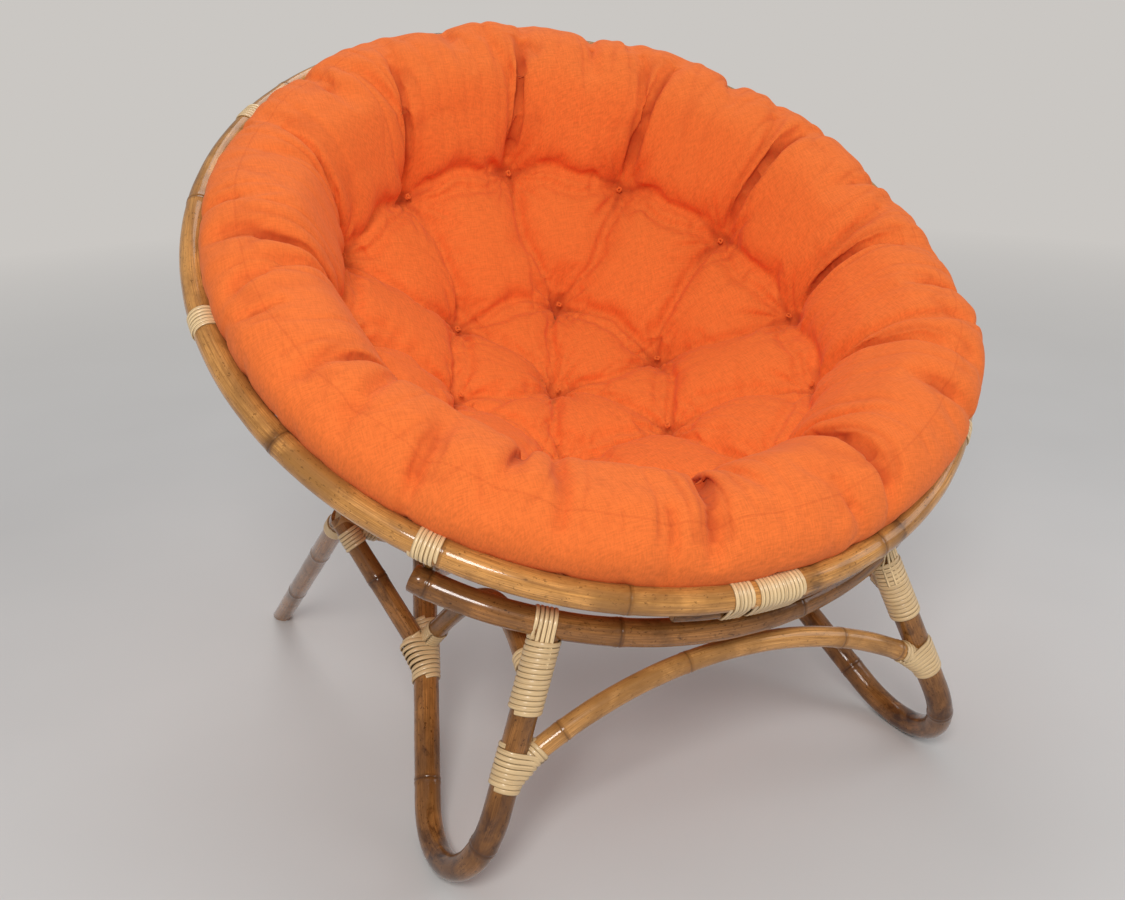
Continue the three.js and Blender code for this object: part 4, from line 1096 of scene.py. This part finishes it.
    def crease_aways(self, x, y):
        """Distances to the creases between tufts, with the share of the way along and the strength."""
        place = np.stack([x, y], axis=-1)
        for number, (start, end) in enumerate(self.creases()):
            first, way = self.tufts[start], self.tufts[end] - self.tufts[start]
            share = np.clip(((place - first) @ way) / (way @ way), 0, 1)
            side = unit(np.array((-way[1], way[0])))
            in_ring = 0 < start and (start < 7) == (end < 7)
            bows = ((-0.017, 1.0), (0.004, 0.7)) if in_ring else ((0.013 if number % 2 else -0.013, 1.0),)
            for bow, strength in bows:
                sway = bow * np.sin(math.pi * share) + 0.003 * np.sin(3 * math.pi * share + number)
                line_at = first + share[..., None] * way + sway[..., None] * side
                yield np.linalg.norm(place - line_at, axis=-1), share, strength

    def crease_lines(self, x, y, radius, degrees, high, reach, sharp=1.0):
        """1 on every crease, falling off within the reach."""
        deep = np.zeros(x.shape)
        for away, share, weight in self.crease_aways(x, y):
            strength = weight * (1 - 0.55 * np.sin(math.pi * share)) * (radius < DISH_CREASES)
            deep = np.maximum(deep, strength * np.exp(-(away / reach) ** sharp))
        for away, weight in self.side_aways(radius, degrees, self.way_along(radius, high)):
            fade = np.clip((radius - SIDE_CREASES) / 0.01, 0, 1) * weight
            deep = np.maximum(deep, fade * np.exp(-(away / reach) ** sharp))
        return deep

    @staticmethod
    def way_along(radius, high):
        """0 at the outer tufts, 1 at the crest, 2 at the rim."""
        down = np.clip((0.100 - high) / 0.110, 0, 1) * (radius > 0.470)
        return np.clip((radius - 0.34) / 0.13, -0.1, 1) + down

    def nearest_crease(self, x, y, radius, degrees, high):
        """Distance to the nearest crease, made longer where the crease is weak."""
        far = np.full(x.shape, 1.0)
        for away, share, weight in self.crease_aways(x, y):
            weak = 1 - weight * (1 - 0.6 * np.sin(math.pi * share))
            far = np.minimum(far, away + 0.010 * weak + (radius >= DISH_CREASES))
        for away, weight in self.side_aways(radius, degrees, self.way_along(radius, high)):
            far = np.minimum(far, away + 0.010 * (1 - weight) + (radius <= SIDE_CREASES))
        return far

    def tuft_puckers(self, x, y):
        """A star of small folds round each tuft."""
        deep = np.zeros(x.shape)
        for number, away, spin in self.round_tufts(x, y):
            star = (0.5 + 0.5 * np.cos(7 * spin + number * 1.7 + 1.8 * np.sin(spin + number))) ** 4
            deep += 0.0045 * star * np.exp(-((away - 0.026) / 0.026) ** 2) + 0.009 * np.exp(-away / 0.008)
        return deep

    def skin(self, turns=420, inset=INSET):
        """Rings of points of the whole pad, drawn in by the inset, which the simulation swells again."""
        section = self.section
        along = unit(np.vstack([section[1:], section[-1:]]) - np.vstack([section[:1], section[:-1]]))
        outward = np.stack([-along[:, 1], along[:, 0]], axis=1)
        degrees = 360 * np.arange(turns) / turns
        spin = np.radians(degrees)
        ripple = np.random.default_rng(13).uniform(0, 2 * math.pi, 40)
        pleats = sum(np.cos(k * spin + ripple[k % 40]) for k in (59, 73, 88, 101)) / 4
        bulge = self.pad.bulge_more * np.maximum(0, np.cos(np.radians(degrees - LOOSE_RIGHT))) ** 6
        bulge += self.pad.bulge_left * np.maximum(0, np.cos(np.radians(degrees - LOOSE_LEFT))) ** 8
        bulge -= 0.012 * np.exp(-((degrees - TIGHT_BACK) / 8) ** 2)
        start = self.crest_at - 20
        rings = []
        for ring, (radius, height) in enumerate(section):
            x, y = radius * np.cos(spin), radius * np.sin(spin)
            down = max(0.0, (ring - self.crest_at) / (self.rim_at - self.crest_at))
            in_dish = ring < self.crest_at
            if ring < self.rim_at:
                passed = np.clip((radius - 0.34) / 0.12, -0.1, 1) if in_dish else 1 + down
                deep = self.pull(x, y) if in_dish else 0 * x
                for away, weight in self.side_aways(radius, degrees, passed):
                    deep = np.maximum(deep, 0.013 * weight / (1 + (away / 0.009) ** 2))
                deep = deep + 0.0022 * pleats * down * (1 - down) * 4 + inset
                fill = self.front_share(x, y) * self.pad.front_fill * (1 - down)
            else:
                deep = 0 * x + (inset * 0.3 if ring < len(section) - 1 else 0)
                fill = 0
            rise = math.sin(math.pi * min(1, max(0, (ring - start) / (self.rim_at - start))) ** 0.8)
            r = radius - outward[ring, 0] * deep + bulge * rise
            h = height - outward[ring, 1] * deep + fill
            rings.append([self.lay.bowl_point(*spot) for spot in zip(r, degrees, h + 0 * r)])
        return np.array(rings)

    def tuft_points(self):
        """Where each tuft's knot sits, and the direction out of the dish there."""
        middle = self.lay.centre + self.lay.axis * self.dish_middle
        for x, y in self.tufts:
            radius, front = math.hypot(x, y), float(self.front_share(x, y))
            height = self.dish_middle - math.sqrt(self.pad.dish_radius ** 2 - radius ** 2)
            point = self.lay.bowl_point(radius, math.degrees(math.atan2(y, x)), height + front * self.pad.front_fill)
            outward = unit(middle - point)
            yield point - outward * self.pad.tuft_depth * (1 - 0.45 * front), outward


class PAPASAN_OT_pad(Make, bpy.types.Operator):
    """Makes the pad: its skin, swollen as cloth between the tufts"""
    bl_idname = "papasan.pad"
    bl_label = "Pad"

    def make(self, scene):
        self.shift = vec(0, self.sizes.middle_shift, 0)
        self.shape = PadShape(self.plan, self.pad)
        skin = self.shape.skin() + self.shift
        rings = skin[1:-1]
        many, sides = rings.shape[:2]
        top, bottom, last = many * sides, many * sides + 1, (many - 1) * sides
        pairs = [(side, (side + 1) % sides) for side in range(sides)]
        faces = [(low + side, low + after, low + sides + after, low + sides + side)
                 for low in range(0, last, sides) for side, after in pairs]
        for side, after in pairs:
            faces += [(top, after, side), (bottom, last + side, last + after)]
        mesh = bpy.data.meshes.new("pad_cushion")
        mesh.from_pydata(np.vstack([rings.reshape(-1, 3), skin[0][:1], skin[-1][:1]]).tolist(), [], faces)
        mesh.update()
        pad = bpy.data.objects.new("pad_cushion", mesh)
        scene.collection.objects.link(pad)
        self.swell(scene, pad)
        pad.data.materials.clear()
        pad.data.materials.append(finish("orange linen"))
        pad.data.polygons.foreach_set("use_smooth", [True] * len(pad.data.polygons))
        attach(pad, "pad")
        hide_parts("seat_pad")
        self.knots(pad)

    def swell(self, scene, pad):
        """Remeshes the skin, swells it as cloth held at the tufts, and smooths it."""
        bpy.context.view_layer.objects.active = pad
        self.modify(pad, "REMESH", mode="VOXEL", voxel_size=0.0066)
        start = read(pad.data.vertices)
        hold = self.hold(start)
        group = pad.vertex_groups.new(name="held")
        for number in np.nonzero(hold > 0.01)[0]:
            group.add([int(number)], float(hold[number]), "REPLACE")
        cloth = pad.modifiers.new("cloth", "CLOTH")
        for key, value in dict(quality=5, mass=0.3, tension_stiffness=12, compression_stiffness=12,
                               shear_stiffness=6, bending_stiffness=0.3, use_pressure=True,
                               uniform_pressure_force=5, shrink_min=-0.06, shrink_max=-0.06,
                               vertex_group_mass="held").items():
            setattr(cloth.settings, key, value)
        cloth.settings.effector_weights.gravity = 0
        cloth.collision_settings.use_collision = False
        cloth.collision_settings.use_self_collision = False
        cloth.point_cache.frame_start, cloth.point_cache.frame_end = 1, CLOTH_FRAMES
        for number in range(1, CLOTH_FRAMES + 1):
            scene.frame_set(number)
        self.apply(pad)
        moved = read(pad.data.vertices) - start
        far = np.linalg.norm(moved, axis=1)
        scale = np.where(far > 1e-9, MOST_SWELL * np.tanh(far / MOST_SWELL) / np.maximum(far, 1e-9), 1)
        pad.data.vertices.foreach_set("co", (start + moved * scale[:, None]).ravel())
        pad.data.update()
        pad.vertex_groups.clear()
        scene.frame_set(1)
        self.modify(pad, "SMOOTH", factor=0.5, iterations=1)
        self.modify(pad, "SUBSURF", levels=1, render_levels=1)
        self.crumple(pad)

    def hold(self, start):
        """How firmly each point is held: at the tufts, along the creases, and where the pad lies in the bowl."""
        hold = np.zeros(len(start))
        for point, outward in self.shape.tuft_points():
            away = np.linalg.norm(start - (point + self.shift), axis=1)
            hold = np.maximum(hold, np.clip(1.35 - away / 0.016, 0, 1))
        x, y, below, radius, degrees = self.polar(start)
        outside = 0.13 * np.clip((0.45 - radius) / 0.10, 0.12, 1)
        grip = np.where(radius < 0.35, 0.57, outside) * (below > -0.3)
        hold = np.maximum(hold, grip * self.shape.crease_lines(x, y, radius, degrees, below, 0.006, 2))
        depth = self.depth_in(start)
        hold = np.where((depth < 0.02) & (hold < 0.9), 0, hold)
        return np.maximum(hold, np.where((depth < 0.006) & (below < -0.02), 1.0, 0.0))

    def depth_in(self, points):
        """How far points lie inside the ball that the pad's underside follows."""
        return self.shape.ball - np.linalg.norm(points - (self.plan.ball_centre + self.shift), axis=1)

    def crumple(self, pad):
        """Sharpens the creases and adds puckers at the tufts, folds on the puffs and gathers at the rim."""
        shape, vertices = self.shape, pad.data.vertices
        points, normals = read(vertices), read(vertices, "normal")
        x, y, high, radius, degrees = self.polar(points)
        upper = np.clip((self.depth_in(points) - 0.006) / 0.02, 0, 1)
        deep = shape.crease_lines(x, y, radius, degrees, high, 0.0045) * 0.0075 + shape.tuft_puckers(x, y)
        round_arc = np.radians(degrees) * 0.47
        outer = np.clip((radius - 0.33) / 0.07, 0, 1)
        near = 0.45 + 0.9 * shape.crease_lines(x, y, radius, degrees, high, 0.035)
        folds = np.zeros(len(points))
        for k in np.nonzero(upper > 0)[0]:
            a, b, share = float(round_arc[k]), float(radius[k] - high[k] * 0.8), float(outer[k])
            long = 1 - abs(noise(Vector((a * 24, b * 5, 3.1)))) * 3.0
            cross = 1 - abs(noise(Vector((a * 12 + b * 8, b * 14 - a * 5, 8.7)))) * 2.8
            folds[k] = 0.0044 * max(0, long) ** 2 * share + 0.0032 * max(0, cross) ** 2 * (1 - 0.5 * share)
        folds *= near
        # Marks for the linen's painted shade: nearness to a crease, the seam, the folds, and the upper side where
        # the seam is shaded.
        mark(pad.data, np.stack([
            np.clip(1 - shape.nearest_crease(x, y, radius, degrees, high) / 0.012, 0, 1) * upper,
            np.clip(0.5 + (radius - self.pad.seam_radius) / 0.04, 0, 1), np.clip(folds / 0.004, 0, 1) * upper,
            np.where(high > 0.03, upper, 0)], axis=1))
        low_side = np.clip((0.052 - high) / 0.03, 0, 1) * np.clip((radius - 0.49) / 0.02, 0, 1)
        gathers = np.array([noise(Vector((a * 62, h * 9, 5.5))) if w > 0 else 0.0
                            for a, h, w in zip(round_arc.tolist(), high.tolist(), low_side.tolist())])
        deep += folds + 0.0030 * gathers * low_side
        points -= normals * (deep * upper)[:, None]
        vertices.foreach_set("co", points.ravel())
        pad.data.update()

    def polar(self, points):
        """Places round the hoop's axis: across, uphill, height, radius and degrees.

        In the dish they are those of the place on the plain dish that the point was pulled or swollen from.
        """
        from_middle = points - self.shift - self.plan.centre
        x, y, high = from_middle[:, 0], from_middle @ self.plan.uphill, from_middle @ self.plan.axis
        radius = np.hypot(x, y)
        fill = self.shape.front_share(x, y) * self.pad.front_fill
        swing = np.arctan2(radius, self.shape.dish_middle - high + fill)
        share = np.clip((math.radians(64) - swing) / math.radians(8), 0, 1) * (high > -0.32)
        plain = self.pad.dish_radius * np.sin(swing)
        scale = 1 + share * (plain / np.maximum(radius, 1e-6) - 1)
        return x * scale, y * scale, high, radius * scale, np.degrees(np.arctan2(y, x))

    def modify(self, piece, kind, **settings):
        modifier = piece.modifiers.new(kind.lower(), kind)
        for key, value in settings.items():
            setattr(modifier, key, value)
        self.apply(piece)

    @staticmethod
    def apply(piece):
        """Bakes the piece's modifiers into its mesh."""
        evaluated = piece.evaluated_get(bpy.context.evaluated_depsgraph_get())
        mesh = bpy.data.meshes.new_from_object(evaluated)
        piece.modifiers.clear()
        piece.data = mesh

    def knots(self, pad):
        """The small knots of thread at the tufts."""
        builder = Builder()
        skin = read(pad.data.vertices) - self.shift
        rng = np.random.default_rng(5)
        shares = 2 * math.pi * np.linspace(0, 1, 14)[:, None]
        angles = 2 * math.pi * np.arange(8) / 8
        for point, outward in self.shape.tuft_points():
            near = np.linalg.norm(skin - point, axis=1) < 0.012
            if near.any():
                point = point + outward * ((skin[near] - point) @ outward).mean()
            side = unit(np.cross(outward, vec(1, 0.2, 0.1)))
            other = np.cross(outward, side)
            for turn in range(3):
                spin = rng.uniform(0, math.pi)
                way = side * math.cos(spin) + other * math.sin(spin)
                path = (point + way * 0.0042 * np.cos(shares) + np.cross(outward, way) * 0.0022 * np.sin(shares)
                        + outward * (0.0012 + 0.0009 * turn + 0.001 * np.sin(shares / 2)))
                rings = tube(path, np.full(14, STRAND), *frames_of(path)[1:], angles)
                builder.rings(rings, lengths_of(path), angles / (2 * math.pi), np.zeros((14, 4)))
        piece = builder.make("tuft_knots", [finish("orange linen")], self.sizes)
        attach(piece, "pad")


class PAPASAN_OT_stage(Make, bpy.types.Operator):
    """Makes the floor, the lamps, the sky and the camera"""
    bl_idname = "papasan.stage"
    bl_label = "Floor, light and camera"

    def make(self, scene):
        floor = bpy.data.meshes.new("floor")
        half = 40.0
        floor.from_pydata([(-half, -half, 0), (half, -half, 0), (half, half, 0), (-half, half, 0)], [],
                          [(0, 1, 2, 3)])
        floor.materials.append(finish("plain floor"))
        self.put(scene, "floor", floor)
        for name, place, size, power, shade in (("key", vec(-1.5, -2.6, 2.5), 1.1, 72, (1.0, 0.975, 0.94)),
                                                ("fill", vec(2.7, -1.7, 1.9), 2.0, 20, (0.96, 0.98, 1.0)),
                                                ("top", vec(0.4, 1.6, 3.2), 2.0, 26, (1.0, 0.99, 0.97))):
            light = bpy.data.lights.new(name, "AREA")
            light.shape, light.size, light.energy, light.color = "DISK", size, power, shade
            lamp = self.put(scene, name, light)
            lamp.matrix_world = look(place, unit(vec(0, -0.05, 0.45) - place), UP)
        self.sky(scene)
        scene.view_settings.view_transform = "Standard"
        lens = bpy.data.cameras.new("camera")
        lens.sensor_width, lens.lens = 36, 41.8678
        lens.clip_start, lens.clip_end = 0.02, 60
        camera = self.put(scene, "camera", lens)
        camera.matrix_world = look(vec(-0.79754, -1.61490, 1.08286), vec(0.393055, 0.849238, -0.352564),
                                   vec(0.156015, 0.316272, 0.935752))  # the photograph's place and angle
        scene.camera = camera

    @staticmethod
    def put(scene, name, data):
        piece = bpy.data.objects.new(name, data)
        scene.collection.objects.link(piece)
        return piece

    @staticmethod
    def sky(scene):
        """Even light all round, dimmer in reflections; the eye sees the backdrop's colour."""
        scene.world = bpy.data.worlds.new("sky")
        n = Nodes(scene.world)
        seen = n.new("LightPath").outputs
        strength = n.math("MULTIPLY_ADD", seen["Is Glossy Ray"], -0.20, 0.5)
        light, shown = (n.new("Background", {"Color": (*shade, 1), "Strength": power}).outputs[0]
                        for shade, power in (((0.88, 0.89, 0.90), strength), (scene.papasan_colours.backdrop, 1.0)))
        both = n.new("MixShader", {0: seen["Is Camera Ray"], 1: light, 2: shown})
        n.new("OutputWorld", {"Surface": both.outputs[0]})


def look(place, ahead, up):
    """A matrix that looks ahead from a place."""
    right = unit(np.cross(ahead, up))
    up = np.cross(right, ahead)
    return Matrix([[right[k], up[k], -ahead[k], place[k]] for k in range(3)] + [[0, 0, 0, 1]])


class PAPASAN_PT_panel(bpy.types.Panel):
    """Lists the chair's pieces"""
    bl_idname = "PAPASAN_PT_panel"
    bl_label = "Papasan chair"
    bl_space_type = "VIEW_3D"
    bl_region_type = "UI"
    bl_category = "Papasan"

    def draw(self, context):
        for group in GROUPS:
            held = getattr(context.scene, group)
            box = self.layout.box()
            for key in held.__annotations__:
                box.prop(held, key)
        for operator in OPERATORS:
            self.layout.operator(operator.bl_idname)


GROUPS = {"papasan_sizes": ChairSizes, "papasan_cane": CaneSizes, "papasan_pad": PadSizes,
          "papasan_colours": ChairColours}
OPERATORS = (PAPASAN_OT_hoop, PAPASAN_OT_bowl, PAPASAN_OT_rails, PAPASAN_OT_leg_loops, PAPASAN_OT_rear_legs,
             PAPASAN_OT_arches, PAPASAN_OT_hoop_lashings, PAPASAN_OT_ring_ties, PAPASAN_OT_leg_lashings,
             PAPASAN_OT_straps, PAPASAN_OT_pad, PAPASAN_OT_stage)


def register():
    for group in GROUPS.values():
        bpy.utils.register_class(group)
    for name, group in GROUPS.items():
        setattr(bpy.types.Scene, name, PointerProperty(type=group))
    for kind in (*OPERATORS, PAPASAN_PT_panel):
        bpy.utils.register_class(kind)


def unregister():
    for kind in (PAPASAN_PT_panel, *reversed(OPERATORS)):
        bpy.utils.unregister_class(kind)
    for name, group in GROUPS.items():
        delattr(bpy.types.Scene, name)
        bpy.utils.unregister_class(group)


def main():
    register()
    for operator in OPERATORS:
        group, name = operator.bl_idname.split(".")
        getattr(getattr(bpy.ops, group), name)()


if __name__ == "__main__":
    main()
